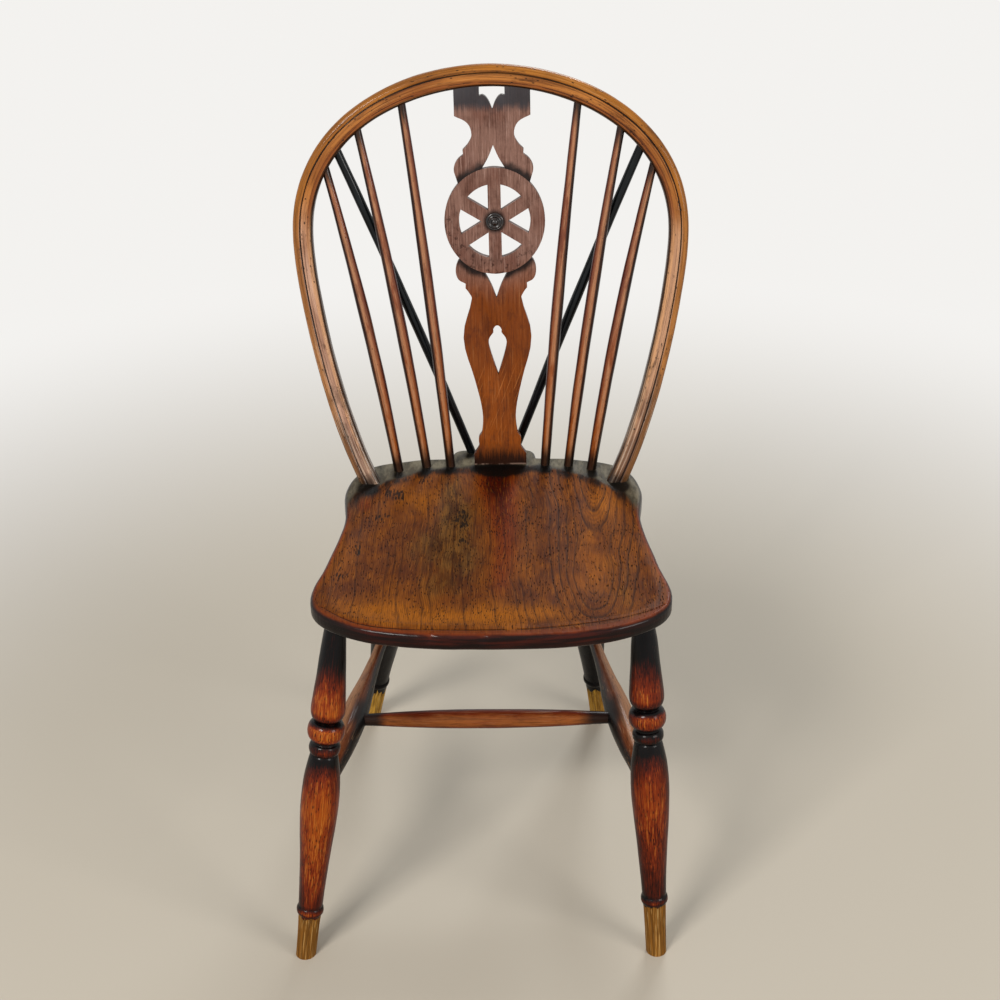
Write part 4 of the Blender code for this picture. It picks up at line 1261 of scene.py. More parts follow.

# %% [markdown]
# The hoop's finish shows how hands have used it. The outer band, which is never gripped, is
# orange gold. The face is amber over the arch and a pinkish brown down both sides, partly rubbed
# and partly a painted sheen, and a painted light makes the left side paler. A paler strip along
# the inner rounding down the sides is partly a painted highlight. There are fine dark streaks
# along the bend, and the groove is full of old polish. Pale glints show towards the feet, and the
# last few centimetres are sooty.

# %% Hoop finish
def hoop_finish():
    wood = Finish("hoop_polish", specular=0.10, coat_roughness=0.10)
    grain = wood.painted("grain", "Vector")
    inward, forward, run = wood.parts(grain)
    from_foot = run.at_most(hoop_length - run)

    streak = wood.cloud(grain, (620.0, 620.0, 7.0), 4.0, 0.6)
    fibre = wood.cloud(grain, (1500.0, 1500.0, 36.0), 2.0, 0.6)
    blot = wood.cloud(grain, (110.0, 110.0, 26.0), 4.0, 0.65)
    wide = wood.cloud(grain, (36.0, 36.0, 8.0), 3.0)
    waved = inward + (streak - 0.5) * 0.0026 + (blot - 0.5) * 0.0012

    # Four bands across the face: gold outside, then amber or pinkish brown, a strip, and black
    arch = (from_foot + (wide - 0.5) * 0.14).between(0.29, 0.38)
    across, _, _ = wood.parts(wood.place())
    # Painted light: the left side of the hoop is painted paler, as if lit from the left
    painted_light_left = across.fading(-0.08, 0.08)
    # The pinkish side tones are partly rubbed finish and partly a painted sheen
    side_rubbed_and_sheen = wood.mix(painted_light_left, tone(192, 146, 114), tone(218, 176, 150))
    side_darker_and_sheen = wood.mix(painted_light_left, tone(144, 100, 74), tone(168, 126, 104))
    rubbed = wood.mix(arch, side_rubbed_and_sheen, tone(182, 116, 54))
    shaded = wood.mix(arch, side_darker_and_sheen, tone(144, 84, 34))
    colour = wood.mix(wide.between(0.38, 0.62), rubbed, shaded)
    outer = waved.fading(-0.0052, -0.0032)
    gold = wood.mix(wide.between(0.35, 0.65), tone(170, 106, 32), tone(136, 82, 24))
    colour = wood.mix(outer * 0.85, colour, gold)
    strip = waved.between(0.0042, 0.0062)
    # Down the sides the strip's pale tone is partly a painted highlight along the inner rounding
    strip_tone_and_highlight = wood.mix(arch, tone(212, 158, 112), tone(132, 68, 30))
    colour = wood.mix(strip * 0.70, colour, strip_tone_and_highlight)
    behind = forward.fading(-0.0085, -0.0045)
    colour = wood.mix(behind * 0.55, colour, tone(84, 46, 22))
    inner = waved.between(0.0078, 0.0100)
    colour = wood.mix(inner * 0.93, colour, tone(20, 11, 7))

    colour = wood.mix(streak.between(0.50, 0.70) * 0.74, colour, tone(66, 30, 12))
    colour = wood.mix(streak.fading(0.28, 0.46) * 0.34, colour, tone(220, 168, 112))
    colour = wood.mix(fibre.between(0.56, 0.68) * 0.55, colour, tone(38, 18, 9))
    colour = wood.mix(blot.between(0.56, 0.70) * 0.55, colour, tone(54, 28, 14))

    groove = abs(inward - GROOVE + (streak - 0.5) * 0.0003).fading(0.0005, 0.0012)
    groove = groove * forward.between(0.0060, 0.0085)
    colour = wood.mix(groove * (0.70 + wide * 0.5).at_most(0.97), colour, tone(20, 10, 5))
    fine_line = abs(inward - FINE_LINE).fading(0.0002, 0.0007)
    fine_line = fine_line * forward.between(0.005, 0.008)
    fine_line = fine_line * from_foot.between(*FINE_LINE_BEGINS) * blot.between(0.40, 0.50)
    colour = wood.mix(fine_line * 0.75, colour, tone(44, 20, 8))

    foot = from_foot.fading(0.05, 0.26)
    mottle = (blot - 0.5 + foot * 0.30 - 0.12).between(0.0, 0.12)
    colour = wood.mix(mottle * (0.22 + foot * 0.30), colour, tone(50, 28, 14))
    glint = streak.fading(0.36, 0.50) * foot * wide.between(0.40, 0.54)
    colour = wood.mix(glint * 0.60, colour, tone(236, 214, 192))
    sooty = from_foot.fading(0.026, 0.046) * blot.between(0.34, 0.52)
    colour = wood.mix(sooty * 0.85, colour, tone(12, 8, 6))

    # Worm holes are round dots far apart, and nicks are short dashes along the bend
    holes = wood.dots(grain, (52.0, 52.0, 52.0), 0.045, 0.060)
    nicks = wood.dots(grain, (330.0, 330.0, 110.0), 0.13, 0.21) * blot.between(0.45, 0.57)
    marks = (holes + nicks).at_most(1.0)
    colour = wood.mix(marks * 0.92, colour, tone(16, 9, 5))

    wood.set(base_color=colour, roughness=0.32 + blot * 0.18 + mottle * 0.10)
    wood.set(coat_weight=0.18 + foot * 0.40 - mottle * 0.15)
    wood.relief(0.5 + blot * 0.5 - fibre * 0.18 - streak * 0.12 - marks * 0.5, 0.0006)
    return wood.material


hand_in(hoop, "hoop_wood", hoop_finish(), "hoop")

# %% [markdown]
# ## Sticks and braces
#
# The sticks were shaved round by eye, so no two are quite alike. Each is turned straight with a
# soft swelling, roughened a little by noise, and sprung between its two sockets. The two braces
# are the same kind of rod, stained black, from the tail to the hoop's shoulders.

# %% Sticks and braces
# Each rod: name, x on the seat, how far behind the hoop's plane it stands there, x and height on
# the hoop's plane, and how far it is sprung towards the chair's middle
STICKS = (
    ("left_outer", -0.1149, 0.0258, -0.1850, 0.3629, 0.0040),
    ("left_middle", -0.0818, 0.0357, -0.1472, 0.4038, 0.0034),
    ("left_inner", -0.0525, 0.0372, -0.0977, 0.4352, 0.0022),
    ("right_inner", 0.0627, 0.0392, 0.0991, 0.4366, 0.0022),
    ("right_middle", 0.0909, 0.0360, 0.1471, 0.4065, 0.0030),
    ("right_outer", 0.1185, 0.0273, 0.1838, 0.3640, 0.0038),
)
BRACES = (
    ("left", -0.0275, 0.0722, -0.1712, 0.3825, 0.0020),
    ("right", 0.0250, 0.0722, 0.1680, 0.3825, 0.0020),
)
SEAT_SOCKET = 0.018
HOOP_SOCKET = 0.015
STICK_RADII = (
    (0.00, 0.0057),
    (0.06, 0.0057),
    (0.32, 0.0066),
    (0.55, 0.0066),
    (0.94, 0.0046),
    (1.00, 0.0046),
)
BRACE_RADII = (
    (0.00, 0.0052),
    (0.06, 0.0052),
    (0.50, 0.0058),
    (0.95, 0.0052),
    (1.00, 0.0052),
)
STICK_FORWARD = 0.0014
BRACE_FORWARD = -0.0052
STICK_SIDES = 28
STICK_STEP = 0.0028


def sprung_path(row, forward):
    """The path of a rod from its seat socket to its hoop socket, in one soft bend."""
    _, seat_x, behind, hoop_x, hoop_s, spring = row
    on_seat = Vector((seat_x, BACK_FOOT + behind, SEAT_TOP))
    at_hoop = BACK @ Vector((hoop_x, hoop_s, forward))
    towards_middle = Vector((-math.copysign(spring, hoop_x), 0.0, 0.0))
    bend = on_seat.lerp(at_hoop, 0.5) + 2 * towards_middle
    foot = on_seat - (bend - on_seat).normalized() * SEAT_SOCKET
    head = at_hoop + (at_hoop - bend).normalized() * HOOP_SOCKET
    return [
        (foot, foot, straight_between(foot, on_seat)),
        (on_seat, straight_between(on_seat, foot), on_seat.lerp(bend, 2 / 3)),
        (at_hoop, at_hoop.lerp(bend, 2 / 3), straight_between(at_hoop, head)),
        (head, straight_between(head, at_hoop), head),
    ]


def make_rod(name, row, forward, radii, seed):
    path = sprung_path(row, forward)
    length = length_of(path)
    knots = [(share * length, radius, SMOOTH) for share, radius in radii]
    profile = evenly(flowing(knots, 12), STICK_STEP)
    rod = turn_on_lathe(name, profile, STICK_SIDES)
    places = places_of(rod)
    paint_grain(rod, places, seed)
    paint(rod, "up", places[:, 2] / length)
    by_hand(rod, 0.00035, (60.0, 60.0, 18.0), seed)
    by_hand(rod, 0.00012, (240.0, 240.0, 30.0), seed + 40)
    return bent(rod, path)


rods = {}
for number, row in enumerate(STICKS):
    name = f"shaved_stick_{row[0]}"
    rods[f"stick_{row[0]}"] = make_rod(name, row, STICK_FORWARD, STICK_RADII, number + 1)
for number, row in enumerate(BRACES):
    name = f"black_brace_{row[0]}"
    rods[f"brace_{row[0]}"] = make_rod(name, row, BRACE_FORWARD, BRACE_RADII, number + 11)
print("rods:", {name: len(rod.data.vertices) for name, rod in rods.items()})

# %% [markdown]
# On a stick the varnish has worn to a reddish brown down the front, more orange lower down. The
# sides are darker, partly from less wear and partly as painted shade, and a pale line down the
# front is a painted highlight. The stick is dark on the side away from the chair's middle, and
# both ends are black where they enter the wood. A normal's direction says which way a point
# faces, and it is painted on the rod so that the wear, the painted shade and the painted
# highlight stay put in every view.

# %% Stick and brace finishes
def paint_facing(piece):
    """How far each point faces the front, from 0 at the sides and back to 1."""
    facing = normals_of(piece) @ np.array([0.0, -1.0, 0.15])
    paint(piece, "front", np.clip(facing, 0.0, 1.0))


def paint_aside(piece):
    """How far each point faces away from the chair's middle, from -1 to 1."""
    side = math.copysign(1.0, places_of(piece)[:, 0].mean())
    paint(piece, "aside", normals_of(piece)[:, 0] * side)


def stick_finish():
    wood = Finish("stick_varnish", specular=0.08, coat_roughness=0.07)
    grain = wood.painted("grain", "Vector")
    up = wood.painted("up")
    front = wood.painted("front")
    streak = wood.cloud(grain, (760.0, 760.0, 12.0), 4.0, 0.6)
    fibre = wood.cloud(grain, (1700.0, 1700.0, 60.0), 2.0, 0.6)
    blot = wood.cloud(grain, (130.0, 130.0, 22.0), 4.0, 0.65)
    low = (up + (blot - 0.5) * 0.2).fading(0.20, 0.60)
    worn = wood.mix(low, tone(138, 80, 54), tone(160, 84, 30))
    # Lighter facing the front: partly worn finish, partly painted shade that darkens the sides
    rubbed = (front + (blot - 0.5) * 0.8 + (streak - 0.5) * 0.5).between(0.48, 0.98)
    colour = wood.mix(rubbed * 0.94, tone(82, 20, 5), worn)
    # A painted highlight: a pale broken line down the front of the stick
    highlight_line = (front + (streak - 0.5) * 0.4).between(0.88, 1.02) * blot.between(0.36, 0.50)
    colour = wood.mix(highlight_line * 0.55, colour, tone(204, 152, 112))
    aside = wood.painted("aside") + (streak - 0.5) * 0.5
    colour = wood.mix(aside.between(0.12, 0.52) * 0.92, colour, tone(16, 8, 6))
    colour = wood.mix(aside.fading(-0.95, -0.55) * 0.70, colour, tone(48, 12, 7))
    colour = wood.mix(streak.between(0.50, 0.70) * 0.62, colour, tone(52, 18, 8))
    colour = wood.mix(streak.fading(0.28, 0.44) * 0.28, colour, tone(208, 148, 98))
    colour = wood.mix(fibre.between(0.57, 0.69) * 0.50, colour, tone(26, 11, 6))
    specks = wood.dots(grain, (150.0, 150.0, 110.0), 0.07, 0.11) * blot.between(0.42, 0.55)
    colour = wood.mix(specks * 0.9, colour, tone(14, 8, 5))
    ragged = (blot - 0.5) * 0.07 + (streak - 0.5) * 0.06
    ends = (up + ragged).fading(0.060, 0.125) + (up + ragged).between(0.905, 0.975)
    colour = wood.mix(ends.at_most(1.0) * 0.92, colour, tone(10, 7, 6))
    wood.set(base_color=colour, roughness=0.30 + blot * 0.16, coat_weight=0.50 - blot * 0.35)
    wood.relief(0.5 + blot * 0.5 - fibre * 0.2 - streak * 0.12 - specks * 0.3, 0.0005)
    return wood.material


def brace_finish():
    wood = Finish("brace_black_stain", specular=0.08, coat_roughness=0.12)
    grain = wood.painted("grain", "Vector")
    streak = wood.cloud(grain, (700.0, 700.0, 12.0), 4.0, 0.6)
    blot = wood.cloud(grain, (160.0, 160.0, 30.0), 4.0, 0.65)
    # The bluish grey in the black mottle is partly a painted sheen
    colour = wood.mix(blot.between(0.4, 0.7), tone(5, 7, 9), tone(18, 24, 28))
    colour = wood.mix(streak.between(0.62, 0.76) * 0.5, colour, tone(50, 38, 28))
    wood.set(base_color=colour, roughness=0.28 + blot * 0.2, coat_weight=0.30)
    wood.relief(0.5 + blot * 0.5 - streak * 0.2, 0.0005)
    return wood.material


finishes = {"stick": stick_finish(), "brace": brace_finish()}
slots = {"stick": "stick_wood", "brace": "brace_black"}
for name, rod in rods.items():
    paint_facing(rod)
    paint_aside(rod)
    kind = name.split("_")[0]
    hand_in(rod, slots[kind], finishes[kind], name)

# %% [markdown]
# ## The splat
#
# The splat is a thin board fretted with a saw, so its shape is all outline, and the frame's solid
# already has that outline. It is copied, its loose triangles are merged, and its flat faces are
# dissolved back into whole ones, so that the Bevel operator can soften just the sawn edges.

# %% Splat board
SPLAT_LEAN = math.radians(6.3)
SPLAT_FOOT_X = 0.0083
SPLAT_FOOT_BACK = 0.0430
SPLAT_SWING = math.radians(0.66)
SPLAT_PLACE = (
    Matrix.Translation((SPLAT_FOOT_X, 0.0, 0.0))
    @ leaning(SPLAT_LEAN, BACK_FOOT + SPLAT_FOOT_BACK)
    @ Matrix.Rotation(SPLAT_SWING, 4, "Z")
)
WHEEL_RISE = 0.3000
WHEEL_HALF_WIDTH = 0.0579
WHEEL_HALF_HEIGHT = 0.0618
SOFTENED = 0.0006


def copy_of(node, name):
    """A copy of a frame solid as one closed mesh with whole flat faces."""
    copy = bpy.data.objects.new(name, nodes[node].data.copy())
    scene.collection.objects.link(copy)
    edit(copy)
    bpy.ops.mesh.remove_doubles(threshold=SAME_PLACE)
    bpy.ops.mesh.dissolve_limited(angle_limit=math.radians(0.5))
    done()
    return copy


splat = copy_of("splat", "fretted_splat")
edit(splat)
bpy.ops.mesh.select_mode(type="EDGE")
bpy.ops.mesh.select_all(action="DESELECT")
bpy.ops.mesh.edges_select_sharp(sharpness=math.radians(40.0))
bpy.ops.mesh.bevel(offset=SOFTENED, segments=2, clamp_overlap=True)
done()
into_splat = np.array(SPLAT_PLACE.inverted())
rows = places_of(splat)
local = rows @ into_splat[:3, :3].T + into_splat[:3, 3]
paint(splat, "grain", local)
shade(splat, 30.0)
print("splat:", len(splat.data.vertices), "points")

# %% [markdown]
# The splat has fine grain straight up it. Its stain is purplish brown, more orange lower down,
# and black where the ears meet the hoop and at the foot. At the shoulders against the raised
# wheel the black is partly old polish in the step and partly a painted shadow, and a dark ring
# round the boss is partly a painted shadow of the boss. All of that follows the board's own
# places, so the masks are written in them.

# %% Splat finish
def splat_finish():
    wood = Finish("splat_stain", specular=0.10, coat_roughness=0.25)
    grain = wood.painted("grain", "Vector")
    x, up, out = wood.parts(grain)
    streak = wood.cloud(grain, (950.0, 26.0, 950.0), 4.0, 0.6)
    fibre = wood.cloud(grain, (1800.0, 90.0, 1800.0), 2.0, 0.6)
    blot = wood.cloud(grain, (62.0, 38.0, 55.0), 4.0, 0.65)
    wide = wood.cloud(grain, (20.0, 11.0, 18.0), 3.0)

    high = (up + (wide - 0.5) * 0.06).between(0.19, 0.26)
    colour = wood.mix(high, tone(140, 70, 18), tone(132, 98, 86))
    colour = wood.mix(wide.between(0.45, 0.65) * 0.55, colour, tone(84, 34, 14))
    colour = wood.mix(blot.between(0.48, 0.68) * 0.50, colour, tone(66, 32, 20))
    colour = wood.mix(streak.between(0.50, 0.70) * 0.60, colour, tone(58, 27, 17))
    pale = wood.mix(high, tone(186, 124, 70), tone(190, 158, 146))
    colour = wood.mix(streak.fading(0.30, 0.46) * 0.40, colour, pale)
    colour = wood.mix(fibre.between(0.56, 0.68) * 0.42, colour, tone(38, 18, 12))
    belly = up.between(0.10, 0.15) * up.fading(0.20, 0.24)
    colour = wood.mix(belly * 0.35, colour, tone(70, 24, 8))

    sideways = x / WHEEL_HALF_WIDTH
    upwards = (up - WHEEL_RISE) / WHEEL_HALF_HEIGHT
    reach = (sideways * sideways + upwards * upwards) ** 0.5
    spotted = wood.cloud(grain, (170.0, 120.0, 170.0), 4.0, 0.7).between(0.52, 0.62)
    lower_rim = reach.between(0.66, 0.80) * (upwards + sideways * 0.5).fading(-0.6, 0.2)
    spotted = spotted * lower_rim
    colour = wood.mix(spotted * reach.fading(0.99, 1.0) * 0.75, colour, tone(44, 20, 14))
    # Black at the shoulders beside the raised wheel: partly old polish, partly a painted shadow
    # of the step
    outside = reach.between(0.995, 1.005)
    shoulder_polish_and_shadow = (reach + (blot - 0.5) * 0.25).fading(1.03, 1.17) * outside
    colour = wood.mix(shoulder_polish_and_shadow * 0.95, colour, tone(13, 9, 9))
    ears = (up + (blot - 0.5) * 0.016 + (streak - 0.5) * 0.010).between(0.421, 0.434)
    colour = wood.mix(ears * 0.94, colour, wood.mix(blot, tone(14, 14, 18), tone(52, 52, 58)))
    foot = (up + (streak - 0.5) * 0.050 + (blot - 0.5) * 0.012).fading(0.006, 0.028)
    colour = wood.mix(foot * 0.94, colour, tone(18, 9, 8))
    base_line = up.fading(0.0008, 0.0016) * blot.between(0.42, 0.56)
    colour = wood.mix(base_line * 0.40, colour, tone(170, 140, 124))
    # A dark ring round the boss: partly dark finish, partly a painted shadow cast by the boss
    hub_dark_and_shadow = (reach + (blot - 0.5) * 0.1).fading(0.17, 0.27)
    colour = wood.mix(hub_dark_and_shadow * 0.80, colour, tone(24, 15, 13))

    # Scratches run slantwise up the waist
    slant = wood.vector(x * 0.90 - up * 0.36, up + x, 0.0)
    scratch = wood.cloud(slant, (560.0, 12.0, 1.0), 2.0, 0.5)
    waist = up.between(0.03, 0.06) * up.fading(0.10, 0.14)
    scratch = scratch.between(0.60, 0.66) * waist
    colour = wood.mix(scratch * 0.45, colour, tone(190, 118, 60))

    # The sawn sides are dark, and their softened edges have rubbed pale
    sides = abs(out).fading(0.0032, 0.0040)
    colour = wood.mix(sides * 0.70, colour, tone(44, 22, 15))
    rubbed = abs(out).between(0.0038, 0.0041) * abs(out).fading(0.0043, 0.0045)
    colour = wood.mix(rubbed * blot.between(0.40, 0.55) * 0.6, colour, tone(190, 156, 136))

    wood.set(base_color=colour, roughness=0.38 + blot * 0.20, coat_weight=0.14 + ears * 0.35)
    wood.relief(0.5 + blot * 0.4 - fibre * 0.25 - streak * 0.2 - scratch * 0.2, 0.0005)
    return wood.material


hand_in(splat, "splat_wood", splat_finish(), "splat")

# %% [markdown]
# The boss in the wheel's middle is a small turned button with a dome, a hollow and two rings,
# glossy black. It is a profile on the lathe again, fine enough that each ring catches its own
# highlight.

# %% Boss
SPLAT_THICKNESS = 0.0090
WHEEL_PROUD = 0.0014
BOSS_RADIUS = 0.0104
PEG_RADIUS = 0.0032
BOSS_PROFILE = (
    (0.0000, BOSS_RADIUS, CORNER),
    (0.0020, BOSS_RADIUS, SMOOTH),
    (0.0031, 0.0092, SMOOTH),
    (0.0028, 0.0080, CORNER),
    (0.0040, 0.0076, SMOOTH),
    (0.0047, 0.0066, SMOOTH),
    (0.0040, 0.0056, CORNER),
    (0.0038, 0.0043, SMOOTH),
    (0.0050, 0.0037, SMOOTH),
    (0.0062, 0.0024, SMOOTH),
    (0.0068, 0.0007, SMOOTH),
)


def make_boss():
    face = SPLAT_THICKNESS / 2 + WHEEL_PROUD + 0.0003
    back = 0.0015 - SPLAT_THICKNESS / 2
    button = evenly(flowing(BOSS_PROFILE, 8), 0.0003) + np.array([face, 0.0])
    profile = [(back, PEG_RADIUS), (face, PEG_RADIUS), *button.tolist()]
    boss = turn_on_lathe("turned_boss", profile, 64)
    paint(boss, "grain", places_of(boss))
    put(boss, SPLAT_PLACE @ Matrix.Translation((0.0, WHEEL_RISE, 0.0)))
    return boss


def boss_finish():
    wood = Finish("boss_black_polish", specular=0.15, coat_roughness=0.07)
    grain = wood.painted("grain", "Vector")
    blot = wood.cloud(grain, (420.0, 420.0, 420.0), 4.0, 0.65)
    colour = wood.mix(blot.between(0.45, 0.75), tone(12, 9, 9), tone(58, 42, 38))
    wood.set(base_color=colour, roughness=0.24 + blot * 0.2, coat_weight=0.9)
    wood.relief(blot, 0.0001)
    return wood.material


hand_in(make_boss(), "boss_black", boss_finish(), "wheel_boss")

# %% [markdown]
# ## The legs
#
# All four legs follow one pattern: foot, ring, long vase, two rings, and a bulb that runs up to
# the socket. They differ in splay, length and in how high the pattern sits, because each was cut
# to the floor by hand. The sole is cut level after the leg is placed, with Bisect, which also
# fills it.

# %% Leg pattern
# Each leg: name, x and y on the floor, x and y under the seat, and how far its pattern is raised
LEGS = (
    ("front_left", -0.2182, -0.2315, -0.1662, -0.1640, 0.000),
    ("front_right", 0.1845, -0.2290, 0.1625, -0.1610, 0.010),
    ("rear_left", -0.1760, 0.2315, -0.1020, 0.0790, 0.021),
    ("rear_right", 0.1390, 0.2315, 0.0980, 0.0790, 0.023),
)
UNDERSIDE = SEAT_TOP - SEAT_THICKNESS
TENON_RADIUS = 0.0117
TENON_LENGTH = 0.0200
SOLE_ALLOWANCE = 0.0120
FOOT_TOP = 0.0545
# Each ring: middle height, half height, radius at its necks and at its round
FOOT_RING = (0.0600, 0.0050, 0.0133, 0.0153)
VASE = (
    (0.0655, 0.0136, CORNER),
    (0.0900, 0.0147, SMOOTH),
    (0.1300, 0.0172, SMOOTH),
    (0.1730, 0.0203, SMOOTH),
    (0.2020, 0.0214, SMOOTH),
    (0.2300, 0.0202, SMOOTH),
    (0.2520, 0.0168, SMOOTH),
    (0.2590, 0.0153, CORNER),
)
LOWER_RING = (0.2675, 0.0066, 0.0138, 0.0173)
UPPER_RING = (0.2890, 0.0115, 0.0136, 0.0206)
BULB = (
    (0.3025, 0.0144, CORNER),
    (0.3065, 0.0176, SMOOTH),
    (0.3145, 0.0190, SMOOTH),
    (0.3310, 0.0180, SMOOTH),
    (0.3530, 0.0161, SMOOTH),
    (0.3780, 0.0144, SMOOTH),
)
LEG_SIDES = 60
LEG_STEP = 0.0011


def leg_profile(length, slant, lift):
    """Heights up the leg from the sole with their radii, bottom first."""

    def lifted(knots):
        return [(height + lift, radius, kind) for height, radius, kind in knots]

    def ring(shape):
        middle, half, neck, radius = shape
        return bead(middle + lift, half, neck, radius)

    neck = (length - TENON_RADIUS * slant - 0.002, TENON_RADIUS, CORNER)
    foot = [(-SOLE_ALLOWANCE, 0.0118, CORNER), (0.0300, 0.0123, SMOOTH)]
    foot.append((FOOT_TOP + lift, 0.0132, CORNER))
    stretches = [
        flowing(foot, 10),
        ring(FOOT_RING),
        flowing(lifted(VASE), 10),
        ring(LOWER_RING),
        ring(UPPER_RING),
        flowing([*lifted(BULB), neck], 10),
        np.array([[length + TENON_LENGTH, TENON_RADIUS]]),
    ]
    return evenly(np.vstack(stretches), LEG_STEP)


def leg_line(leg):
    _, foot_x, foot_y, top_x, top_y, _ = leg
    return Vector((foot_x, foot_y, 0.0)), Vector((top_x, top_y, UNDERSIDE))


print("leg pattern of", len(leg_profile(0.41, 0.1, 0.0)), "rings")

# %% [markdown]
# The finish has flaked off the feet and left a ragged edge: a thin crust that stands proud of the
# bare wood. The edge's height is noise round the leg, with long torn tongues on the rear legs.
# The crust is given its real thickness in the mesh, and each point's height above the edge is
# painted on for the finish to read, beside how dark the finish is at that height.

# %% Peeled feet
CRUST = 0.00035
# Height of the edge and how ragged it is
PEEL = {"front": (0.0535, 0.0035), "rear": (0.0440, 0.0110)}


def peel_edge(places, lift, raggedness, height, seed):
    """How far above the ragged edge of the finish each place of a leg is."""
    turn = np.arctan2(places[:, 1], places[:, 0])
    ring = np.column_stack([np.cos(turn), np.sin(turn), np.zeros(len(turn))])
    torn = waver(ring, (2.6, 2.6, 0.0), seed) + 0.6 * waver(ring, (8.0, 8.0, 0.0), seed + 1)
    torn += 0.35 * waver(ring, (19.0, 19.0, 0.0), seed + 2)
    return places[:, 2] - (height + lift + torn * raggedness)


# Darkness of the finish by height on the pattern: 1 is black, 0 is worn to gold. The right legs
# have kept a little more of it
RIGHT_KEPT = 0.14
DARK = (
    (0.000, 0.35),
    (0.054, 0.50),
    (0.056, 0.70),
    (0.060, 0.26),
    (0.065, 0.66),
    (0.070, 0.46),
    (0.100, 0.36),
    (0.140, 0.24),
    (0.190, 0.14),
    (0.215, 0.22),
    (0.236, 0.42),
    (0.247, 0.66),
    (0.254, 0.98),
    (0.259, 1.00),
    (0.2625, 0.75),
    (0.2675, 0.58),
    (0.2765, 1.00),
    (0.282, 0.25),
    (0.295, 0.10),
    (0.299, 0.70),
    (0.3015, 1.00),
    (0.306, 0.60),
    (0.315, 0.15),
    (0.335, 0.28),
    (0.352, 0.48),
    (0.368, 0.80),
    (0.384, 0.98),
    (0.420, 1.00),
)


def make_leg(leg, seed):
    name, lift = leg[0], leg[5]
    sole, top = leg_line(leg)
    length = (top - sole).length
    slant = math.sqrt(length**2 - top.z**2) / top.z
    piece = turn_on_lathe(f"turned_leg_{name}", leg_profile(length, slant, lift), LEG_SIDES)
    by_hand(piece, 0.00040, (40.0, 40.0, 14.0), seed)
    by_hand(piece, 0.00014, (230.0, 230.0, 45.0), seed + 5)
    places = places_of(piece)
    height, raggedness = PEEL[name.split("_")[0]]
    above = peel_edge(places, lift, raggedness, height, seed)
    outward = places * np.array([1.0, 1.0, 0.0])
    outward /= np.maximum(np.linalg.norm(outward, axis=1), 1e-6)[:, None]
    crust = smooth_steps(above, -0.0006, 0.0006) - 1.0
    move_points(piece, places + outward * (crust * CRUST)[:, None])

    heights, darkness = zip(*DARK)
    paint_grain(piece, places, seed)
    paint(piece, "above_peel", above)
    kept = RIGHT_KEPT if name.endswith("right") else 0.0
    paint(piece, "dark", np.interp(places[:, 2] - lift, heights, darkness) + kept)
    put(piece, along(sole, top))
    paint_facing(piece)
    edit(piece)
    bpy.ops.mesh.bisect(
        plane_co=(0, 0, 0),
        plane_no=(0, 0, 1),
        use_fill=True,
        clear_inner=True,
        threshold=SAME_PLACE,
    )
    done()
    return piece


legs = {leg[0]: make_leg(leg, number * 3 + 31) for number, leg in enumerate(LEGS)}
print("legs:", {name: len(leg.data.vertices) for name, leg in legs.items()})

# %% [markdown]
# The turning holds its colour in bands: black in the hollows and at the top, orange red on the
# bulb and the round of the upper ring, gold on the swell of the vase, and streaks along the grain
# where one band runs into the next. Where the crust has gone, the wood is a khaki yellow with
# dark lines.

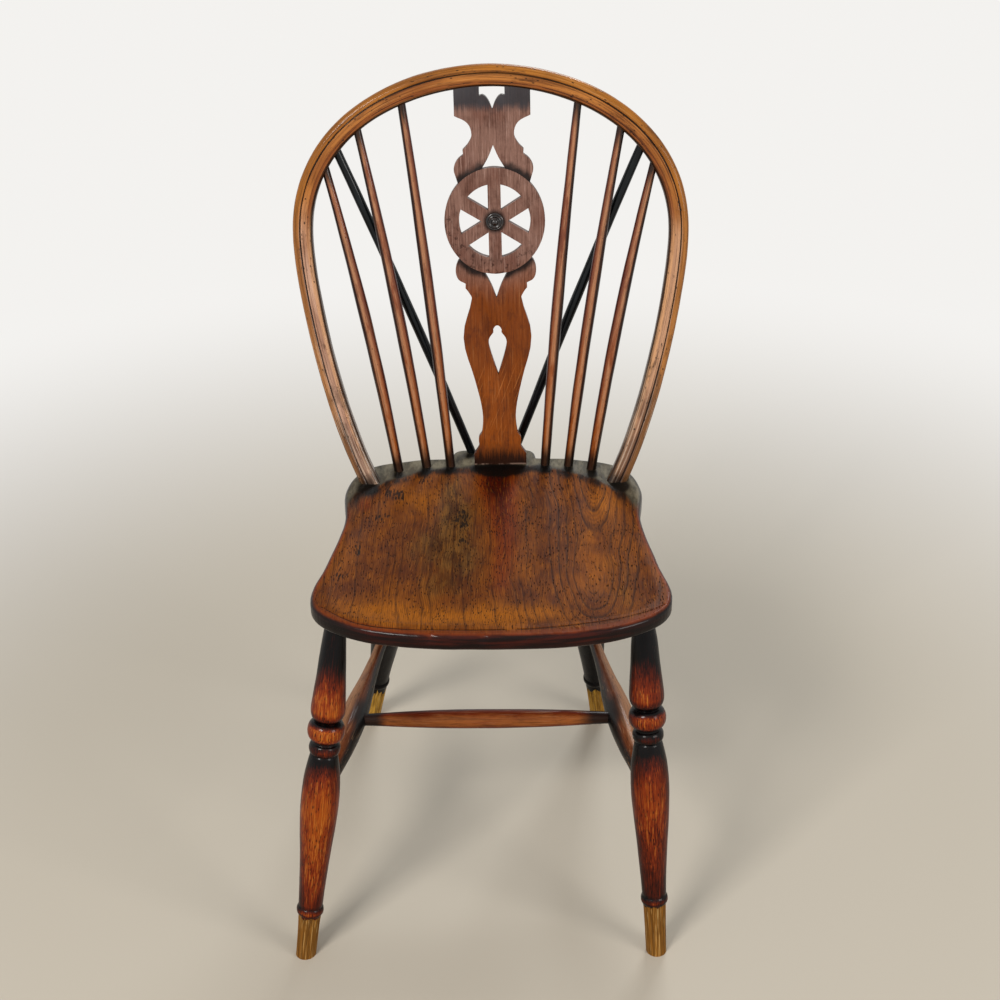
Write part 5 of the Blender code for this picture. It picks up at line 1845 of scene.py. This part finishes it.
# %% Leg finish
def leg_finish(name, varnish, coat, raw, tongues):
    """A leg's varnish and its bare foot.

    varnish is how much more of it has been kept, coat is its gloss, raw holds two colours of the
    bare wood, painted paler for the rear feet as painted light against the seat's shadow, and
    tongues, from 0 to 1, is how plainly streaks of varnish hang over that.
    """
    wood = Finish(name, specular=0.05, coat_roughness=0.07)
    grain = wood.painted("grain", "Vector")
    front = wood.painted("front")
    streak = wood.cloud(grain, (760.0, 760.0, 16.0), 4.0, 0.65)
    fibre = wood.cloud(grain, (1300.0, 1300.0, 70.0), 2.0, 0.6)
    blot = wood.cloud(grain, (90.0, 90.0, 28.0), 4.0, 0.65)
    wide = wood.cloud(grain, (40.0, 40.0, 10.0), 3.0)

    dark = wood.painted("dark") + varnish + (streak - 0.5) * 1.1 + (blot - 0.5) * 0.6
    # Darker on the sides that face away from the front: partly less worn, partly painted shade
    dark = dark + (1.0 - front) * 0.42 + (wide - 0.5) * 0.4
    colour = wood.mix(dark.between(-0.05, 0.40), tone(166, 82, 18), tone(124, 42, 8))
    colour = wood.mix(dark.between(0.28, 0.68), colour, tone(62, 16, 5))
    colour = wood.mix(dark.between(0.62, 0.95), colour, tone(5, 4, 5))
    pores = wood.dots(grain, (480.0, 480.0, 110.0), 0.18, 0.30) * blot.between(0.32, 0.50)
    colour = wood.mix(pores * 0.88, colour, tone(18, 6, 4))
    colour = wood.mix(fibre.between(0.56, 0.68) * 0.60, colour, tone(26, 8, 4))
    glow = dark.fading(0.10, 0.45) * streak.fading(0.34, 0.50)
    colour = wood.mix(glow * 0.40, colour, tone(204, 132, 52))

    # Bare wood below the flaked edge, ridged where its soft grain has gone
    tatter = (fibre - 0.5) * 0.0022 + (streak - 0.5) * 0.0050
    bare = (wood.painted("above_peel") + tatter).fading(-0.0004, 0.0004)
    ridges = wood.cloud(grain, (620.0, 620.0, 14.0), 3.0, 0.6).between(0.42, 0.60)
    bare_tone = wood.mix(wide.between(0.35, 0.65), *raw)
    bare_tone = wood.mix(ridges * 0.62, bare_tone, tone(74, 46, 20))
    pale_lines = wood.cloud(grain, (900.0, 900.0, 20.0), 2.0, 0.5).fading(0.34, 0.46)
    bare_tone = wood.mix(pale_lines * 0.45, bare_tone, tone(214, 176, 112))
    bare_tone = wood.mix(blot.between(0.54, 0.70) * 0.45, bare_tone, tone(78, 50, 26))
    hanging = (wood.painted("above_peel") + 0.011).between(0.0, 0.011) * tongues
    bare_tone = wood.mix(hanging * streak.between(0.47, 0.55), bare_tone, tone(9, 6, 4))
    colour = wood.mix(bare, colour, bare_tone)

    wood.set(base_color=colour, roughness=0.27 + blot * 0.14 + bare * 0.42)
    wood.set(coat_weight=(coat - blot * 0.20) * (1.0 - bare))
    height = 0.6 + blot * 0.4 - fibre * 0.2 - streak * 0.15 - pores * 0.2 - bare * ridges * 0.7
    wood.relief(height, 0.0006)
    return wood.material


# The front legs have worn to orange and gold; the rear legs have kept nearly all their black
front_raw = (tone(164, 112, 46), tone(134, 88, 34))
# The rear feet's bare wood is painted paler than the front's: painted light against the seat's
# shadow
rear_raw_with_painted_light = (tone(204, 156, 66), tone(172, 126, 50))
front_look = leg_finish("front_leg_varnish", 0.0, 0.30, front_raw, 0.0)
rear_look = leg_finish("rear_leg_varnish", 0.75, 0.20, rear_raw_with_painted_light, 1.0)
for name, leg in legs.items():
    shade(leg, 45.0)
    look = front_look if name.startswith("front") else rear_look
    hand_in(leg, "leg_wood", look, f"leg_{name}")

# %% [markdown]
# ## The stretchers
#
# The side stretchers swell towards the front, where the cross stretcher is let into them. They
# are turned from end to end, and reach a little way into each leg.

# %% Stretchers
STRETCHER_HEIGHT = 0.1880
STRETCHER_END = 0.0074
STRETCHER_BELLY = 0.0166
SHORT_OF_LEG_AXIS = 0.0060
CROSS_PLACE = 0.445
CROSS_BELLY = 0.0116
SHORT_OF_SIDE_AXIS = 0.0050
SIDE_SHAPE = (
    (0.00, STRETCHER_END),
    (0.08, STRETCHER_END),
    (0.18, STRETCHER_BELLY * 0.62),
    (0.29, STRETCHER_BELLY * 0.86),
    (0.44, STRETCHER_BELLY),
    (0.56, STRETCHER_BELLY * 0.86),
    (0.68, STRETCHER_BELLY * 0.62),
    (0.85, STRETCHER_END),
    (1.00, STRETCHER_END),
)
CROSS_SHAPE = (
    (0.00, STRETCHER_END),
    (0.05, STRETCHER_END),
    (0.25, CROSS_BELLY * 0.88),
    (0.50, CROSS_BELLY),
    (0.75, CROSS_BELLY * 0.88),
    (0.95, STRETCHER_END),
    (1.00, STRETCHER_END),
)


def turn_stretcher(name, start, end, shape, seed):
    length = (end - start).length
    knots = [(share * length, radius, SMOOTH) for share, radius in shape]
    piece = turn_on_lathe(name, evenly(flowing(knots, 10), 0.0022), 44)
    places = places_of(piece)
    paint_grain(piece, places, seed)
    paint(piece, "up", places[:, 2] / length)
    by_hand(piece, 0.00045, (45.0, 45.0, 12.0), seed)
    by_hand(piece, 0.00014, (220.0, 220.0, 40.0), seed + 1)
    put(piece, along(start, end))
    paint(piece, "above", np.clip(normals_of(piece)[:, 2], -1.0, 1.0))
    return piece


def at_height(name, height):
    sole, top = leg_line(next(leg for leg in LEGS if leg[0] == name))
    return sole.lerp(top, height / top.z)


stretchers = {}
crossing = {}
for number, side in enumerate(("left", "right")):
    front_end = at_height(f"front_{side}", STRETCHER_HEIGHT)
    rear_end = at_height(f"rear_{side}", STRETCHER_HEIGHT)
    short = (rear_end - front_end).normalized() * SHORT_OF_LEG_AXIS
    name = f"stretcher_{side}"
    ends = (front_end + short, rear_end - short)
    stretchers[name] = turn_stretcher(f"turned_{name}", *ends, SIDE_SHAPE, 61 + number)
    crossing[side] = front_end.lerp(rear_end, CROSS_PLACE)
short = (crossing["right"] - crossing["left"]).normalized() * SHORT_OF_SIDE_AXIS
stretchers["stretcher_cross"] = turn_stretcher(
    "turned_stretcher_cross", crossing["left"] + short, crossing["right"] - short, CROSS_SHAPE, 71
)
print("stretchers:", {name: len(piece.data.vertices) for name, piece in stretchers.items()})

# %% [markdown]
# Shoes have scuffed the tops and outer sides of the side stretchers to a dull pinkish brown,
# while their inner sides are nearly black; these lighter tops and darker inner sides and
# undersides are partly painted light and shade. The cross stretcher is redder and lighter down
# its front, partly worn and partly painted light, with blackened ends.

# %% Stretcher finishes
def stretcher_finish(name, tones, worn_and_lit_way, sooty_ends):
    """A stretcher's varnish, lighter on one side from scuffing and painted light, black at both
    ends.

    tones are for worn, middling and dark places. worn_and_lit_way says how much facing up, aside
    and to the front counts as worn and lit, both scuffing and painted light, and the dark side is
    partly painted shade. sooty_ends says where the first end's soot stops, fading from one share
    of the length to the next, and where the other end's begins.
    """
    wood = Finish(name, specular=0.08, coat_roughness=0.10)
    grain = wood.painted("grain", "Vector")
    up = wood.painted("up")
    facing = wood.painted("above") * worn_and_lit_way[0] + wood.painted("aside") * worn_and_lit_way[1]
    facing = facing + wood.painted("front") * worn_and_lit_way[2]
    streak = wood.cloud(grain, (640.0, 640.0, 12.0), 4.0, 0.65)
    fibre = wood.cloud(grain, (1400.0, 1400.0, 60.0), 2.0, 0.6)
    blot = wood.cloud(grain, (120.0, 120.0, 24.0), 4.0, 0.65)
    worn, middling, dark = tones
    # Lighter on the facing side: partly scuffing, partly painted light; the other side partly
    # painted shade
    ragged = facing + (blot - 0.5) * 0.7 + (streak - 0.5) * 0.5
    colour = wood.mix(ragged.between(-0.10, 0.45), dark, middling)
    scuff_and_light = ragged.between(0.50, 0.95)
    colour = wood.mix(scuff_and_light * 0.85, colour, worn)
    colour = wood.mix(streak.between(0.50, 0.68) * 0.66, colour, tone(38, 15, 8))
    colour = wood.mix(streak.fading(0.30, 0.44) * 0.28, colour, tone(206, 154, 112))
    colour = wood.mix(fibre.between(0.57, 0.69) * 0.55, colour, tone(22, 10, 6))
    place = up + (blot - 0.5) * 0.06 + (streak - 0.5) * 0.05
    ends = place.fading(*sooty_ends[:2]) + place.between(*sooty_ends[2:])
    colour = wood.mix(ends.at_most(1.0) * 0.93, colour, tone(8, 8, 9))
    colour = wood.mix(wood.painted("corner") * 0.90, colour, tone(9, 9, 9))
    wood.set(base_color=colour, roughness=0.32 + blot * 0.16 + scuff_and_light * 0.12)
    wood.set(coat_weight=0.22 - blot * 0.20)
    wood.relief(0.5 + blot * 0.5 - fibre * 0.25 - streak * 0.15, 0.0006)
    return wood.material


def paint_corner(piece, joints):
    """Old polish gathers where the cross stretcher meets a side stretcher's inner face."""
    places = places_of(piece)
    gathered = np.zeros(len(places))
    for joint in joints:
        away = np.linalg.norm(places - np.array(joint), axis=1)
        inwards = normals_of(piece)[:, 0] * -math.copysign(1.0, joint.x)
        gathered += (1.0 - smooth_steps(away, 0.018, 0.040)) * smooth_steps(inwards, -0.2, 0.5)
    paint(piece, "corner", np.clip(gathered, 0.0, 1.0))


side_tones = (tone(158, 112, 76), tone(106, 56, 30), tone(15, 11, 8))
cross_tones = (tone(160, 92, 42), tone(104, 36, 10), tone(34, 9, 4))
side_ends = (0.035, 0.100, 0.870, 0.950)
cross_ends = (0.075, 0.130, 0.840, 0.915)
side_way = (0.75, 0.65, 0.0)
cross_way = (0.12, 0.0, 0.88)
side_look = stretcher_finish("side_stretcher_varnish", side_tones, side_way, side_ends)
cross_look = stretcher_finish("cross_stretcher_varnish", cross_tones, cross_way, cross_ends)
for name, piece in stretchers.items():
    look = cross_look if name == "stretcher_cross" else side_look
    paint_aside(piece)
    paint_facing(piece)
    paint_corner(piece, crossing.values())
    hand_in(piece, "stretcher_wood", look, name)

# %% [markdown]
# ## The wedges
#
# Two small wedges spread the hoop's ends under the seat. Their shape in the frame is already
# right, so they only get a finish: raw end grain, darkened by age.

# %% Wedges
def wedge_finish():
    wood = Finish("wedge_end_grain", specular=0.3)
    place = wood.place()
    fibre = wood.cloud(place, (900.0, 900.0, 120.0), 4.0, 0.6)
    blot = wood.cloud(place, (160.0, 160.0, 60.0), 3.0, 0.6)
    colour = wood.mix(fibre.between(0.4, 0.65), tone(120, 84, 50), tone(66, 42, 25))
    colour = wood.mix(blot.between(0.5, 0.7) * 0.6, colour, tone(46, 30, 20))
    wood.set(base_color=colour, roughness=0.62 + blot * 0.2)
    wood.relief(fibre, 0.0003)
    return wood.material


wedge_look = wedge_finish()
for side in ("left", "right"):
    wedge = nodes[f"hoop_wedge_{side}"]
    wedge.data.materials.clear()
    wedge.data.materials.append(wedge_look)
print("wedges finished")
